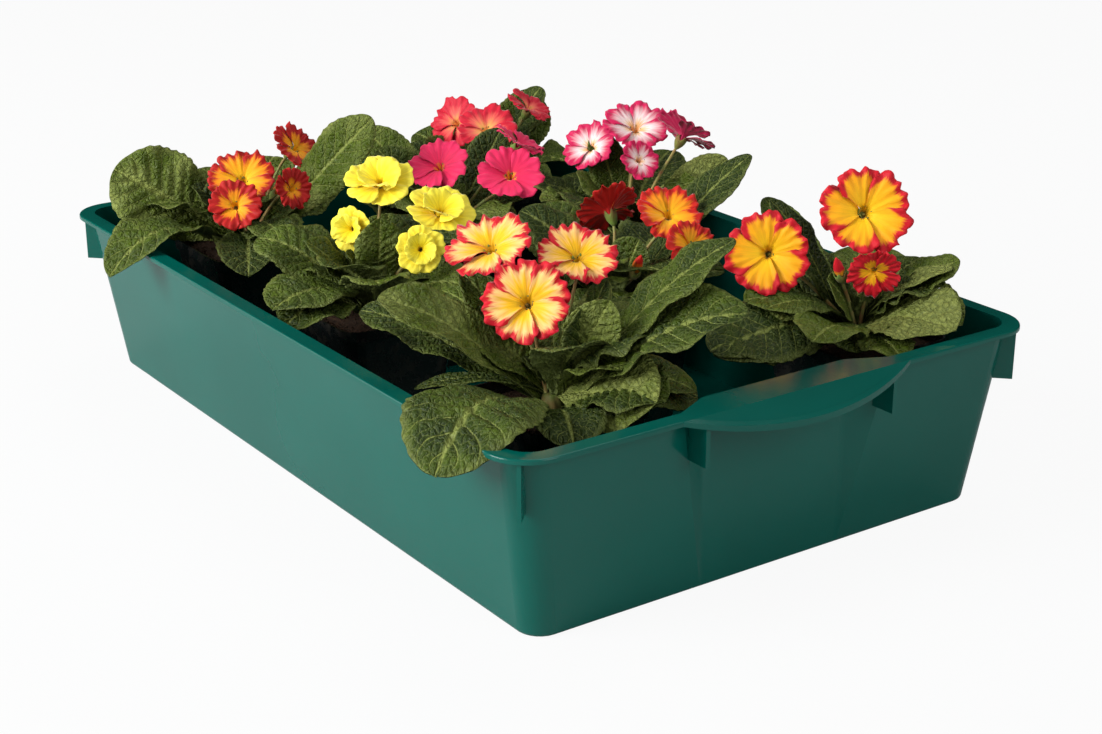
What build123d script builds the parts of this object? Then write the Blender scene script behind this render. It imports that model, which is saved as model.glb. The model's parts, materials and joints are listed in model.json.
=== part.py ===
from build123d import *
import math
import os

# Planting tray that holds eight potted primroses in potting soil.
# Millimetres. X runs along the tray, Y across it, Z up.
# The origin is the middle of the tray's underside, where it stands.

os.makedirs("parts", exist_ok=True)

# Tray moulding
tray_length = 600.0
tray_width = 400.0
tray_height = 120.0
tray_wall = 2.5
tray_floor = 2.5
base_inset_length = 21.0
base_inset_width = 26.5
rim_overhang = 8.4
rim_thickness = 3.0
rim_corner_radius = 28.2
base_corner_radius = 15.8
base_edge_radius = 3.0
rim_edge_radius = 1.2

# Hand holds at the two ends
recess_half_width = 54.0
recess_flare = 26.0
recess_corner_radius = 10.0
lip_half_width = 87.0
lip_reach = 19.0
lip_drop = 10.5
lip_thickness = 2.8
lip_bead_width = 3.0
lip_bead_height = 1.4
hand_gusset_place = 72.0
hand_gusset_thickness = 3.0
hand_gusset_reach = 25.0
hand_gusset_depth = 30.0

# Stacking ribs under the four rim corners
corner_rib_thickness = 2.5
corner_rib_depth = 36.0
corner_rib_setback = 2.0

# Square pots
pot_top = 90.0
pot_base = 62.0
pot_height = 97.0
pot_wall = 1.5
pot_floor = 1.8
pot_collar_height = 7.0
pot_collar_step = 2.0
pot_top_radius = 13.0
pot_base_radius = 9.0
pot_hole_diameter = 8.0
pot_hole_sides = 8
pot_hole_spacing = 36.0
pot_gap = 5.0
wall_gap = 3.0

# Potting soil and the plants' crowns
soil_clearance = 0.2
soil_below_rim = 8.0
crown_radius = 8.0
crown_top_radius = 6.5
crown_height = 12.0
crown_sides = 10

# Leaves
leaf_length = 100.0
leaf_width = 50.0
leaf_thickness = 2.0
leaf_root_spread = 8.0
leaf_seat_gap = 0.3
leaf_overhang = 26.0
leaf_rim_clearance = 3.0

# Flowers
stalk_radius = 1.2
stalk_sides = 5
stalk_root_radius = 4.4
stalk_bow_share = 0.08
calyx_radius = 3.6
calyx_length = 11.0
bloom_diameter = 50.0
bloom_cup = 8.0
bloom_wall = 1.5
bloom_tube_radius = 2.4
bloom_petals = 5
petal_notch_share = 0.8
bud_length = 13.0
bud_radius = 4.0
bud_facing = 60.0

# One small overrun serves every cut
cut_overrun = 5.0

# Places worked out from the sizes above
soil_level = tray_floor + pot_height - soil_below_rim
crown_level = soil_level + crown_height
base_half_length = tray_length / 2 - base_inset_length
base_half_width = tray_width / 2 - base_inset_width
wall_half_length = tray_length / 2 - rim_overhang
wall_half_width = tray_width / 2 - rim_overhang
wall_corner_radius = rim_corner_radius - rim_overhang
pot_pitch = pot_top + pot_gap
column_left = -(base_half_length - tray_wall - pot_base / 2 - wall_gap)
column_span = -2 * column_left
row_back = base_half_width - tray_wall - pot_base / 2 - wall_gap
row_middle = row_back - pot_pitch
front_row_share = 0.5
row_front = -row_back + (row_middle - pot_pitch + row_back) * front_row_share

# Each plant's pot: its share of the way along the tray, and its row
pot_column_shares = {1: 0.07, 2: 0.45, 3: 0.2, 4: 0.4, 5: 0.63, 6: 0.885, 7: 0.915, 8: 0.004}
pot_rows = {
    1: row_front,
    2: row_front,
    3: row_middle,
    4: row_back,
    5: row_middle,
    6: row_front,
    7: row_back,
    8: row_back,
}

# Leaves of each plant: azimuth, elevation and roll in degrees, then the
# shares of leaf_length, leaf_width and, for the arch, of its own length
leaf_shares = {
    1: [
        (239, 29, -55, 1.10, 1.28, 0.04),
        (250, 47, 0, 0.58, 0.60, 0.10),
        (327, 0, 0, 0.74, 0.82, 0.20),
        (36, 42, 0, 1.32, 0.84, 0.10),
        (190, 14, 0, 0.78, 0.84, 0.12),
        (140, 30, 0, 0.85, 0.88, 0.12),
        (92, 18, 0, 0.75, 0.80, 0.12),
        (354, 12, 0, 0.78, 0.80, 0.14),
    ],
    2: [
        (345, 76, 180, 0.63, 0.62, 0.04),
        (216, 22, 0, 0.93, 0.90, 0.12),
        (196, 2, 0, 0.68, 0.66, 0.14),
        (290, 5, 0, 0.94, 1.00, 0.16),
        (330, 25, 0, 0.80, 0.84, 0.10),
        (22, 16, 0, 0.85, 0.84, 0.12),
        (75, 32, 0, 0.80, 0.80, 0.10),
        (152, 24, 0, 0.85, 0.84, 0.12),
        (250, 44, 0, 0.62, 0.60, 0.08),
    ],
    3: [
        (290, 25, 0, 0.66, 0.76, 0.12),
        (340, 14, 0, 0.72, 0.80, 0.12),
        (30, 10, 0, 0.60, 0.72, 0.12),
        (85, 20, 0, 0.58, 0.70, 0.12),
        (138, 14, 0, 0.50, 0.64, 0.12),
        (184, 20, 0, 0.70, 0.80, 0.12),
        (232, 16, 0, 0.70, 0.76, 0.12),
        (258, 50, 0, 0.60, 0.56, 0.06),
    ],
    4: [
        (248, 54, 0, 0.64, 0.52, 0.06),
        (18, 40, 0, 0.78, 0.80, 0.10),
        (330, 14, 0, 0.68, 0.76, 0.12),
        (284, 20, 0, 0.58, 0.68, 0.12),
        (228, 12, 0, 0.60, 0.72, 0.12),
        (182, 26, 0, 0.76, 0.82, 0.12),
        (132, 32, 0, 0.70, 0.78, 0.10),
        (82, 36, 0, 0.72, 0.78, 0.10),
    ],
    5: [
        (226, 40, 0, 0.86, 0.90, 0.12),
        (70, 44, 0, 1.34, 0.62, 0.05),
        (32, 18, 0, 0.82, 0.76, 0.12),
        (348, 14, 0, 0.78, 0.76, 0.12),
        (305, 26, 0, 0.76, 0.80, 0.12),
        (264, 15, 0, 0.70, 0.80, 0.12),
        (182, 14, 0, 0.76, 0.84, 0.12),
        (134, 24, 0, 0.66, 0.74, 0.12),
        (98, 14, 0, 0.46, 0.62, 0.12),
    ],
    6: [
        (22, 70, 180, 0.64, 0.58, 0.04),
        (14, 10, 0, 0.84, 1.00, 0.12),
        (52, 42, 0, 1.42, 0.72, 0.06),
        (33, 27, 0, 1.32, 1.10, 0.10),
        (50, 2, 0, 0.86, 0.86, 0.12),
        (240, 32, 0, 1.20, 0.84, 0.08),
        (217, 15, 0, 1.31, 0.76, 0.08),
        (204, 42, 0, 0.92, 0.60, 0.08),
        (334, 0, 0, 0.84, 0.84, 0.12),
        (84, 58, 0, 0.74, 0.44, 0.04),
        (98, 24, 0, 0.88, 0.84, 0.12),
        (146, 26, 0, 0.82, 0.84, 0.12),
        (180, 12, 0, 0.84, 0.80, 0.12),
    ],
    7: [
        (265, 2, 0, 1.16, 1.10, 0.10),
        (255, 17, 0, 0.84, 0.80, 0.12),
        (42, 38, 0, 0.80, 0.72, 0.06),
        (10, 13, 0, 0.80, 1.06, 0.12),
        (335, 4, 0, 0.78, 0.66, 0.10),
        (20, 46, 0, 0.52, 0.60, 0.06),
        (218, 54, 0, 1.00, 0.60, 0.05),
        (300, 10, 0, 0.84, 0.86, 0.12),
        (180, 22, 0, 0.76, 0.84, 0.12),
        (138, 30, 0, 0.64, 0.74, 0.12),
        (90, 30, 0, 0.66, 0.68, 0.10),
    ],
    8: [
        (80, 54, 0, 0.90, 0.84, 0.06),
        (4, 60, 0, 0.52, 0.34, 0.04),
        (286, 14, 0, 0.70, 0.76, 0.12),
        (342, 18, 0, 0.60, 0.72, 0.12),
        (246, 20, 0, 0.74, 0.82, 0.12),
        (208, 24, 0, 0.75, 0.80, 0.10),
        (164, 30, 0, 0.70, 0.72, 0.10),
        (118, 22, 0, 0.62, 0.68, 0.10),
    ],
}

# The two big leaves that lie out over the tray's rim: azimuth in degrees,
# share of leaf_width, share of leaf_overhang past the rim
overhanging_leaf_shares = {1: (291, 1.00, 0.88), 6: (296, 1.48, 1.0)}

# A leaf's outline and centre line: how far along, half-width
leaf_outline_shares = [(0.0, 0.07), (0.2, 0.28), (0.5, 0.88), (0.8, 0.92), (1.0, 0.24)]
leaf_fold_share = 0.22
leaf_droop_power = 1.35

# Blooms: azimuth of the stalk's root and of the bloom, shares of leaf_length
# for how far out and how high it stands, where it faces, share of diameter
bloom_shares = {
    1: [
        (300, 322, 0.17, 0.46, 330, 50, 1.0),
        (100, 84, 0.39, 0.62, 60, 40, 0.84),
        (345, 322, 0.46, 0.35, 330, 35, 0.8),
        (8, 12, 0.51, 0.45, 10, 20, 0.64),
    ],
    2: [
        (150, 139, 0.31, 0.72, 320, 62, 1.0),
        (70, 54, 0.46, 0.60, 350, 62, 0.92),
        (215, 187, 0.20, 0.46, 300, 10, 0.66),
        (20, 17, 0.43, 0.44, 330, 20, 0.66),
    ],
    3: [
        (290, 299, 0.13, 0.48, 300, 50, 0.94),
        (20, 36, 0.50, 0.42, 330, 52, 1.0),
        (85, 70, 0.54, 0.60, 60, 60, 0.84),
    ],
    4: [
        (205, 201, 0.31, 0.62, 290, 42, 0.86),
        (130, 120, 0.17, 0.77, 340, 62, 1.0),
        (330, 350, 0.20, 0.62, 350, 35, 0.62),
        (35, 31, 0.44, 0.80, 40, 62, 0.96),
    ],
    5: [
        (150, 150, 0.24, 0.53, 190, 60, 0.94),
        (75, 50, 0.36, 0.58, 340, 55, 0.94),
        (25, 24, 0.58, 0.44, 350, 40, 0.74),
    ],
    6: [
        (250, 234, 0.16, 0.56, 318, 30, 1.04),
        (120, 120, 0.36, 0.72, 330, 62, 1.0),
        (195, 193, 0.50, 0.78, 290, 66, 1.08),
    ],
    7: [
        (268, 238, 0.59, 0.50, 318, 22, 1.12),
        (120, 120, 0.06, 0.75, 328, 30, 1.2),
        (350, 336, 0.26, 0.46, 320, -20, 0.7),
    ],
    8: [
        (259, 259, 0.24, 0.50, 290, 30, 0.9),
        (312, 330, 0.36, 0.50, 320, 55, 0.96),
        (60, 40, 0.38, 0.62, 40, 60, 0.8),
    ],
}

# Closed buds: the two azimuths, then shares of leaf_length as above
bud_shares = {
    1: [(62, 60, 0.22, 0.34)],
    5: [(340, 350, 0.34, 0.30), (290, 300, 0.20, 0.30)],
    7: [(310, 290, 0.28, 0.44)],
}


def faceted(rings):
    """A solid of flat facets through rings of points, closed at both ends."""
    corners = []
    for low, high in zip(rings, rings[1:]):
        for index in range(len(low)):
            after = (index + 1) % len(low)
            corners.append([low[index], low[after], high[after]])
            corners.append([low[index], high[after], high[index]])
    for ring in (rings[0], rings[-1]):
        for index in range(1, len(ring) - 1):
            corners.append([ring[0], ring[index], ring[index + 1]])
    return Solid(Shell([Face(Wire.make_polygon(points, close=True)) for points in corners]))


def ring_on(plane, radius, sides):
    """Points of a regular polygon on a plane."""
    turns = [2 * math.pi * side / sides for side in range(sides)]
    places = [(radius * math.cos(turn), radius * math.sin(turn), 0) for turn in turns]
    return [plane.from_local_coords(place) for place in places]


def rounded_block(length, width, radius, level):
    """A rounded rectangle at a level, as one section of a loft."""
    return Plane.XY.offset(level) * RectangleRounded(length, width, radius)


def recess_block(grow):
    """The finger recess at the +X end, widening outwards, as a cutting block."""
    far = tray_length / 2 + cut_overrun
    slope = recess_flare / (wall_half_length - base_half_length)
    far_half = recess_half_width + slope * (far - base_half_length)
    outline = Polygon(
        (base_half_length, -recess_half_width),
        (far, -far_half),
        (far, far_half),
        (base_half_length, recess_half_width),
        align=None,
    )
    inner_corners = outline.vertices().sort_by(Axis.X)[:2]
    outline = fillet(inner_corners, recess_corner_radius)
    if grow:
        outline = offset(outline, grow)
    return extrude(outline, tray_height + cut_overrun, dir=(0, 0, 1))


def lip_level(reach):
    """Height of the crescent's upper face at a distance out from the rim."""
    return tray_height - lip_drop * reach / lip_reach


def hand_lip():
    """The crescent that slopes down and out from the rim, with its bead."""
    rim_edge = tray_length / 2
    root = rim_edge - rim_thickness
    radius = (lip_half_width**2 + lip_reach**2) / (2 * lip_reach)
    middle = Pos(rim_edge + lip_reach - radius, 0)
    outer_side = Rectangle(2 * (lip_reach + rim_thickness), 2 * lip_half_width)
    crescent = middle * Circle(radius) & Pos(rim_edge + lip_reach, 0) * outer_side
    bead = crescent - middle * Circle(radius - lip_bead_width)
    reach = lip_reach + cut_overrun
    far = rim_edge + reach
    sheet = Polygon(
        (root, tray_height),
        (rim_edge, tray_height),
        (far, lip_level(reach)),
        (far, lip_level(reach) - lip_thickness),
        (rim_edge, tray_height - rim_thickness),
        (root, tray_height - rim_thickness),
        align=None,
    )
    ridge = Polygon(
        (rim_edge, tray_height),
        (far, lip_level(reach) + lip_bead_height),
        (far, lip_level(reach) - lip_thickness),
        (rim_edge, tray_height - rim_thickness),
        align=None,
    )
    lip = extrude(Plane.XZ * sheet, lip_half_width, both=True)
    lip &= extrude(crescent, tray_height, dir=(0, 0, 1))
    edge = extrude(Plane.XZ * ridge, lip_half_width, both=True)
    edge &= extrude(bead, tray_height, dir=(0, 0, 1))
    return lip + edge


def hand_gussets():
    """Two upright plates that tie the crescent to the end wall."""
    rim_edge = tray_length / 2
    inner = base_half_length - tray_wall / 2
    outer = base_half_length + hand_gusset_reach
    bottom = tray_height - hand_gusset_depth
    side_view = Polygon(
        (inner, bottom),
        (outer, bottom),
        (outer, lip_level(outer - rim_edge) - lip_thickness / 2),
        (rim_edge, tray_height - rim_thickness / 2),
        (inner, tray_height - rim_thickness / 2),
        align=None,
    )
    return [
        extrude(Plane.XZ.offset(place) * side_view, hand_gusset_thickness / 2, both=True)
        for place in (-hand_gusset_place, hand_gusset_place)
    ]


def corner_ribs():
    """A thin upright rib on the diagonal under each rim corner."""
    ribs = []
    reach = rim_corner_radius - corner_rib_setback
    root = wall_corner_radius / 4
    middle_x = tray_length / 2 - rim_corner_radius
    middle_y = tray_width / 2 - rim_corner_radius
    level = tray_height - rim_thickness / 2 - corner_rib_depth / 2
    for side_x in (-1, 1):
        for side_y in (-1, 1):
            plate = Box(reach - root, corner_rib_thickness, corner_rib_depth)
            plate = Pos((reach + root) / 2, 0, level) * plate
            turn = math.degrees(math.atan2(side_y, side_x))
            ribs.append(Pos(side_x * middle_x, side_y * middle_y) * Rot(0, 0, turn) * plate)
    return ribs


def make_tray():
    """The tray, one moulding: walls, rim, hand holds, gussets and ribs."""
    ends = [Rot(0, 0, 0), Rot(0, 0, 180)]
    base = rounded_block(2 * base_half_length, 2 * base_half_width, base_corner_radius, 0)
    top = rounded_block(2 * wall_half_length, 2 * wall_half_width, wall_corner_radius, tray_height)
    body = loft([base, top], ruled=True)
    body = fillet(body.edges().group_by(Axis.Z)[0], base_edge_radius)
    recess = recess_block(0)
    body -= [end * Pos(0, 0, -cut_overrun) * recess for end in ends]
    rim = rounded_block(tray_length, tray_width, rim_corner_radius, tray_height - rim_thickness)
    rim = extrude(rim, rim_thickness)
    rim = fillet(rim.edges().group_by(Axis.Z)[-1], rim_edge_radius)
    body += rim
    body += [end * piece for end in ends for piece in [hand_lip()] + hand_gussets()]
    body += corner_ribs()
    inner_rise = (tray_height + cut_overrun - tray_floor) / tray_height
    lean_x = (wall_half_length - base_half_length) * inner_rise
    lean_y = (wall_half_width - base_half_width) * inner_rise
    bottom_x = base_half_length - tray_wall
    bottom_y = base_half_width - tray_wall
    cavity = loft(
        [
            rounded_block(2 * bottom_x, 2 * bottom_y, base_corner_radius - tray_wall, tray_floor),
            rounded_block(
                2 * (bottom_x + lean_x),
                2 * (bottom_y + lean_y),
                wall_corner_radius - tray_wall,
                tray_height + cut_overrun,
            ),
        ],
        ruled=True,
    )
    panel = recess_block(tray_wall)
    cavity -= [end * panel for end in ends]
    return body - cavity


def square_ring(width, radius, level):
    """Points of a square with its corners rounded off in three flats each."""
    points = []
    centre = (width / 2 - radius) * math.sqrt(2)
    for corner in range(4):
        middle = math.radians(90 * corner + 45)
        for step in range(4):
            turn = math.radians(90 * corner + 30 * step)
            x = centre * math.cos(middle) + radius * math.cos(turn)
            y = centre * math.sin(middle) + radius * math.sin(turn)
            points.append(Vector(x, y, level))
    return points


def pot_place(number):
    """Where a plant's pot stands, at the level of the tray's floor."""
    return Pos(column_left + column_span * pot_column_shares[number], pot_rows[number], tray_floor)


def pot_ring(level, skin):
    """The pot's tapered outline at a level, drawn in by a skin."""
    rise = level / (pot_height - pot_collar_height)
    width = pot_base + (pot_top - 2 * pot_collar_step - pot_base) * rise
    radius = pot_base_radius + (pot_top_radius - pot_collar_step - pot_base_radius) * rise
    return square_ring(width - 2 * skin, radius - skin, level)


def collar_block(skin, bottom, top):
    """The straight block of the pot's collar, drawn in by a skin."""
    width = pot_top - 2 * skin
    return faceted([square_ring(width, pot_top_radius - skin, level) for level in (bottom, top)])


def make_pot():
    """A tapered square pot with a stepped collar and four drain holes."""
    shoulder = pot_height - pot_collar_height
    pot = faceted([pot_ring(0, 0), pot_ring(shoulder, 0)]) + collar_block(0, shoulder, pot_height)
    pot -= faceted([pot_ring(pot_floor, pot_wall), pot_ring(shoulder + cut_overrun, pot_wall)])
    pot -= collar_block(pot_wall, shoulder + pot_wall, pot_height + cut_overrun)
    ends = [Plane.XY.offset(level) for level in (-cut_overrun, cut_overrun)]
    hole = faceted([ring_on(end, pot_hole_diameter / 2, pot_hole_sides) for end in ends])
    return pot - GridLocations(pot_hole_spacing, pot_hole_spacing, 2, 2) * hole


def make_soil():
    """The block of potting soil and roots that fills a pot."""
    skin = pot_wall + soil_clearance
    return faceted([pot_ring(pot_floor, skin), pot_ring(pot_height - soil_below_rim, skin)])


def polar(azimuth, elevation, reach):
    """A point at a distance in a direction given by two angles."""
    flat = reach * math.cos(math.radians(elevation))
    turn = math.radians(azimuth)
    return Vector(flat * math.cos(turn), flat * math.sin(turn), reach * math.sin(math.radians(elevation)))


def crown_surface(level):
    """Radius of the crown at a level below its top."""
    return crown_top_radius + (crown_top_radius - crown_radius) * level / crown_height


def leaf_root(azimuth, elevation):
    """Where a leaf sits on the side of the crown."""
    upright = math.sin(math.radians(elevation))
    level = -leaf_root_spread * (1 - upright)
    seat = crown_surface(level) + leaf_seat_gap + leaf_thickness / 2 * upright
    return polar(azimuth, 0, seat) + Vector(0, 0, level)


def leaf_rise(along):
    """Height of a leaf's arch along it, as a share of its top."""
    bend = along**leaf_droop_power
    return 4 * bend * (1 - bend)


def leaf_blade(root, tip, roll, width_share, arch):
    """A thin folded blade from its root to its tip, arched upwards."""
    chord = tip - root
    heading = chord.normalized()
    across = Vector(0, 0, 1).cross(heading).normalized().rotate(Axis((0, 0, 0), heading), roll)
    plane = Plane(origin=root, x_dir=across, z_dir=heading)
    half_width = leaf_width * width_share / 2
    rings = []
    for along, wide in leaf_outline_shares:
        height = arch * leaf_rise(along)
        half = half_width * wide
        edge = height + leaf_fold_share * half
        low = height - leaf_thickness / 2
        section = [(-half, edge), (0, low), (half, edge), (0, low + leaf_thickness)]
        rings.append([plane.from_local_coords((x, y, chord.length * along)) for x, y in section])
    return faceted(rings)


def make_leaf(azimuth, elevation, roll, length_share, width_share, arch_share):
    """A leaf that grows out of the crown."""
    root = leaf_root(azimuth, elevation)
    tip = polar(azimuth, elevation, leaf_length * length_share)
    return leaf_blade(root, tip, roll, width_share, (tip - root).length * arch_share)


def make_overhanging_leaf(azimuth, width_share, overhang_share):
    """A leaf that arches over the tray's front rim and clears it."""
    root = leaf_root(azimuth, 0)
    rim_reach = tray_width / 2 + row_front
    tip_reach = rim_reach + leaf_overhang * overhang_share
    slant = math.sin(math.radians(-azimuth))
    tip = polar(azimuth, 0, tip_reach / slant) + Vector(0, 0, tray_height - crown_level - leaf_overhang / 2)
    crossing = (rim_reach + root.Y) / (tip_reach + root.Y)
    chord_level = root.Z + (tip.Z - root.Z) * crossing
    needed = tray_height - crown_level + leaf_rim_clearance + leaf_thickness / 2 - chord_level
    return leaf_blade(root, tip, 0, width_share, needed / leaf_rise(crossing))


def make_crown():
    """The plant's crown, which carries its leaves and stalks."""
    foot = ring_on(Plane.XY.offset(-crown_height), crown_radius, crown_sides)
    return faceted([foot, ring_on(Plane.XY, crown_top_radius, crown_sides)])


def flower_frame(azimuth, reach_share, height_share, face_azimuth, face_elevation):
    """The plane of a bloom's foot, facing the way that the bloom faces."""
    foot = polar(azimuth, 0, leaf_length * reach_share) + Vector(0, 0, leaf_length * height_share)
    return Plane(origin=foot, z_dir=polar(face_azimuth, face_elevation, 1))


def make_stalk(azimuth, head):
    """A stalk from the crown up to a flower's head, swelling to its calyx."""
    root = polar(azimuth, 0, stalk_root_radius)
    calyx_foot = head.origin - head.z_dir * calyx_length
    rise = calyx_foot - root
    middle = root + rise * 0.5 + Vector(0, 0, rise.length * stalk_bow_share)
    side = Vector(0, 0, 1).cross(head.z_dir)
    sections = [
        (root, Vector(0, 0, 1), stalk_radius),
        (middle, rise, stalk_radius),
        (calyx_foot, rise.normalized() + head.z_dir, stalk_radius),
        (head.origin, head.z_dir, calyx_radius),
    ]
    rings = []
    for place, way, radius in sections:
        rings.append(ring_on(Plane(origin=place, x_dir=side, z_dir=way), radius, stalk_sides))
    return faceted(rings)


def petal_ring(plane, radius, notch_share):
    """Outline of the petals: two shoulders and a notch for each."""
    count = 3 * bloom_petals
    points = []
    for index in range(count):
        reach = radius * (notch_share if index % 3 == 0 else 1)
        turn = 2 * math.pi * index / count
        points.append(plane.from_local_coords((reach * math.cos(turn), reach * math.sin(turn), 0)))
    return points


def make_bloom(head, size_share):
    """Petals that flare as a shallow cup from a narrow throat."""
    radius = bloom_diameter * size_share / 2
    inner_share = 1 - bloom_wall / bloom_cup
    throat = petal_ring(head, bloom_tube_radius, 1)
    rim = petal_ring(head.offset(bloom_cup), radius, petal_notch_share)
    inner_throat = petal_ring(head.offset(bloom_wall), bloom_tube_radius, 1)
    rise = head.z_dir * bloom_wall
    inner_rim = [low + rise + (high - low) * inner_share for low, high in zip(throat, rim)]
    return faceted([throat, rim, inner_rim, inner_throat])


def make_bud(head):
    """A closed bud, a pointed spindle on its calyx."""
    sections = [(0, calyx_radius), (bud_length / 2, bud_radius), (bud_length, bud_radius / 4)]
    return faceted([ring_on(head.offset(height), radius, stalk_sides) for height, radius in sections])


def solids_of(shapes):
    """All separate solids of the shapes, as one group."""
    solids = [solid for shape in shapes for solid in shape.solids()]
    return Compound(children=solids) if len(solids) > 1 else solids[0]


def save(name, shapes, place):
    """Write one node's group of solids, moved to its place."""
    export_step(solids_of([place * shape for shape in shapes]), f"parts/{name}.step")


def make_plant(number):
    """Everything that grows in one pot, as groups of solids by name."""
    leaves = [make_leaf(*shares) for shares in leaf_shares[number]]
    overhanging = []
    if number in overhanging_leaf_shares:
        overhanging = [make_overhanging_leaf(*overhanging_leaf_shares[number])]
    blooms = []
    stalks = []
    for root_azimuth, azimuth, reach, height, face_azimuth, face_elevation, size in bloom_shares[number]:
        head = flower_frame(azimuth, reach, height, face_azimuth, face_elevation)
        blooms.append(make_bloom(head, size))
        stalks.append(make_stalk(root_azimuth, head))
    buds = []
    for root_azimuth, azimuth, reach, height in bud_shares.get(number, []):
        head = flower_frame(azimuth, reach, height, azimuth, bud_facing)
        buds.append(make_bud(head))
        stalks.append(make_stalk(root_azimuth, head))
    plant = {
        f"crown_{number}": [make_crown()],
        f"leaves_{number}": leaves,
        f"flower_stalks_{number}": stalks,
        f"blooms_{number}": blooms,
    }
    if overhanging:
        plant[f"overhanging_leaf_{number}"] = overhanging
    if buds:
        plant[f"flower_buds_{number}"] = buds
    return plant


save("planting_tray", [make_tray()], Pos(0, 0, 0))
pot = make_pot()
soil = make_soil()
for number in pot_rows:
    place = pot_place(number)
    save(f"pot_{number}", [pot], place)
    save(f"potting_soil_{number}", [soil], place)
    plant_place = place * Pos(0, 0, crown_level - tray_floor)
    for name, shapes in make_plant(number).items():
        save(name, shapes, plant_place)
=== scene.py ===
"""Looks of a planting tray that holds eight potted primroses.

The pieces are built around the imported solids: leaves, stalks, calyxes, petals, buds, crowns and soil
stand for the plain solids of the same plant, and the tray and the pots keep theirs and get a finish.
Lengths are metres, written as millimetres times MM.
"""

import json
import logging
import math
from dataclasses import dataclass, field
from enum import Enum

import bpy
import numpy as np
from mathutils import Matrix, Vector

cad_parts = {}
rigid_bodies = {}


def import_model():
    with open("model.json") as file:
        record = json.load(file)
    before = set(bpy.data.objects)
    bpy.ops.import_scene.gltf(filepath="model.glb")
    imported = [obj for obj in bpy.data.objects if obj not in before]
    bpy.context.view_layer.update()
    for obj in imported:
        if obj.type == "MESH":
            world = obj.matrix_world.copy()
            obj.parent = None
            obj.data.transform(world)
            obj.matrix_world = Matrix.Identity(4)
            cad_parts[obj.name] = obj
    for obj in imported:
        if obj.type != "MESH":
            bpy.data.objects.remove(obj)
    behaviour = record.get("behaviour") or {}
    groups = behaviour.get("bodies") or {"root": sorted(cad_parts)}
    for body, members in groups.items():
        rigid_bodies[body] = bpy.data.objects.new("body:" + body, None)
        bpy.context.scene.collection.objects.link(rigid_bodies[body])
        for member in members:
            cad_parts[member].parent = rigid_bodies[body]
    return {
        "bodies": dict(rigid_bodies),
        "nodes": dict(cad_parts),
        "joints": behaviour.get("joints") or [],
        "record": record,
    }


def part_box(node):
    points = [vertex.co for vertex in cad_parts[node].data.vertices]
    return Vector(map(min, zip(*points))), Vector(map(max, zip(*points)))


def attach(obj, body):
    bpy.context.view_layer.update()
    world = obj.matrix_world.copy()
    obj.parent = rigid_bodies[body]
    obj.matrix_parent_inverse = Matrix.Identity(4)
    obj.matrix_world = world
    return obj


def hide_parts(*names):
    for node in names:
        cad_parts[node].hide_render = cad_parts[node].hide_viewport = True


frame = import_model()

MM = 0.001
UP = np.array([0.0, 0.0, 1.0])
FRONT_CORNER = np.array([0.766, -0.54, 0.35])
log = logging.getLogger("planting tray")


def srgb(code: str) -> tuple[float, float, float, float]:
    """Turns an sRGB hex colour into the linear values that shaders take.

    Args:
        code: Six hex digits, such as "2E6B4F".

    Returns:
        Red, green, blue and full alpha.
    """
    shares = [int(code[place:place + 2], 16) / 255 for place in (0, 2, 4)]
    linear = [s / 12.92 if s <= 0.04045 else ((s + 0.055) / 1.055) ** 2.4 for s in shares]
    return (linear[0], linear[1], linear[2], 1.0)


def add_node(tree: bpy.types.NodeTree, kind: str, links: dict | None = None, **settings) -> bpy.types.Node:
    """Adds one node with its settings, and links or sets its inputs.

    Args:
        tree: The node tree that gets the node.
        kind: The node's type name.
        links: Input name or number to an output socket or a plain value.
        settings: Properties of the node itself.

    Returns:
        The new node.
    """
    node = tree.nodes.new(kind)
    for name, value in settings.items():
        setattr(node, name, value)
    for key, value in (links or {}).items():
        if isinstance(value, bpy.types.NodeSocket):
            tree.links.new(value, node.inputs[key])
        else:
            node.inputs[key].default_value = value
    return node


def fill_ramp(node: bpy.types.Node, stops: list[tuple[float, str]]) -> None:
    """Sets the stops of a colour ramp.

    Args:
        node: The colour ramp node.
        stops: Places from 0 to 1, in order, each with its hex colour.
    """
    elements = node.color_ramp.elements
    while len(elements) < len(stops):
        elements.new(0.5)
    for element, (place, code) in zip(elements, stops):
        element.position = place
        element.color = srgb(code)


def new_material(name: str, **inputs) -> tuple[bpy.types.Material, bpy.types.NodeTree, bpy.types.Node]:
    """Makes a material with one Principled shader.

    Args:
        name: The material's name.
        inputs: Constant values of the shader's own sockets, with underscores for spaces.

    Returns:
        The material, its node tree and its shader node.
    """
    material = bpy.data.materials.new(name)
    material.use_nodes = True
    tree = material.node_tree
    shader = tree.nodes["Principled BSDF"]
    for key, value in inputs.items():
        shader.inputs[key.replace("_", " ")].default_value = value
    return material, tree, shader


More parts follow.
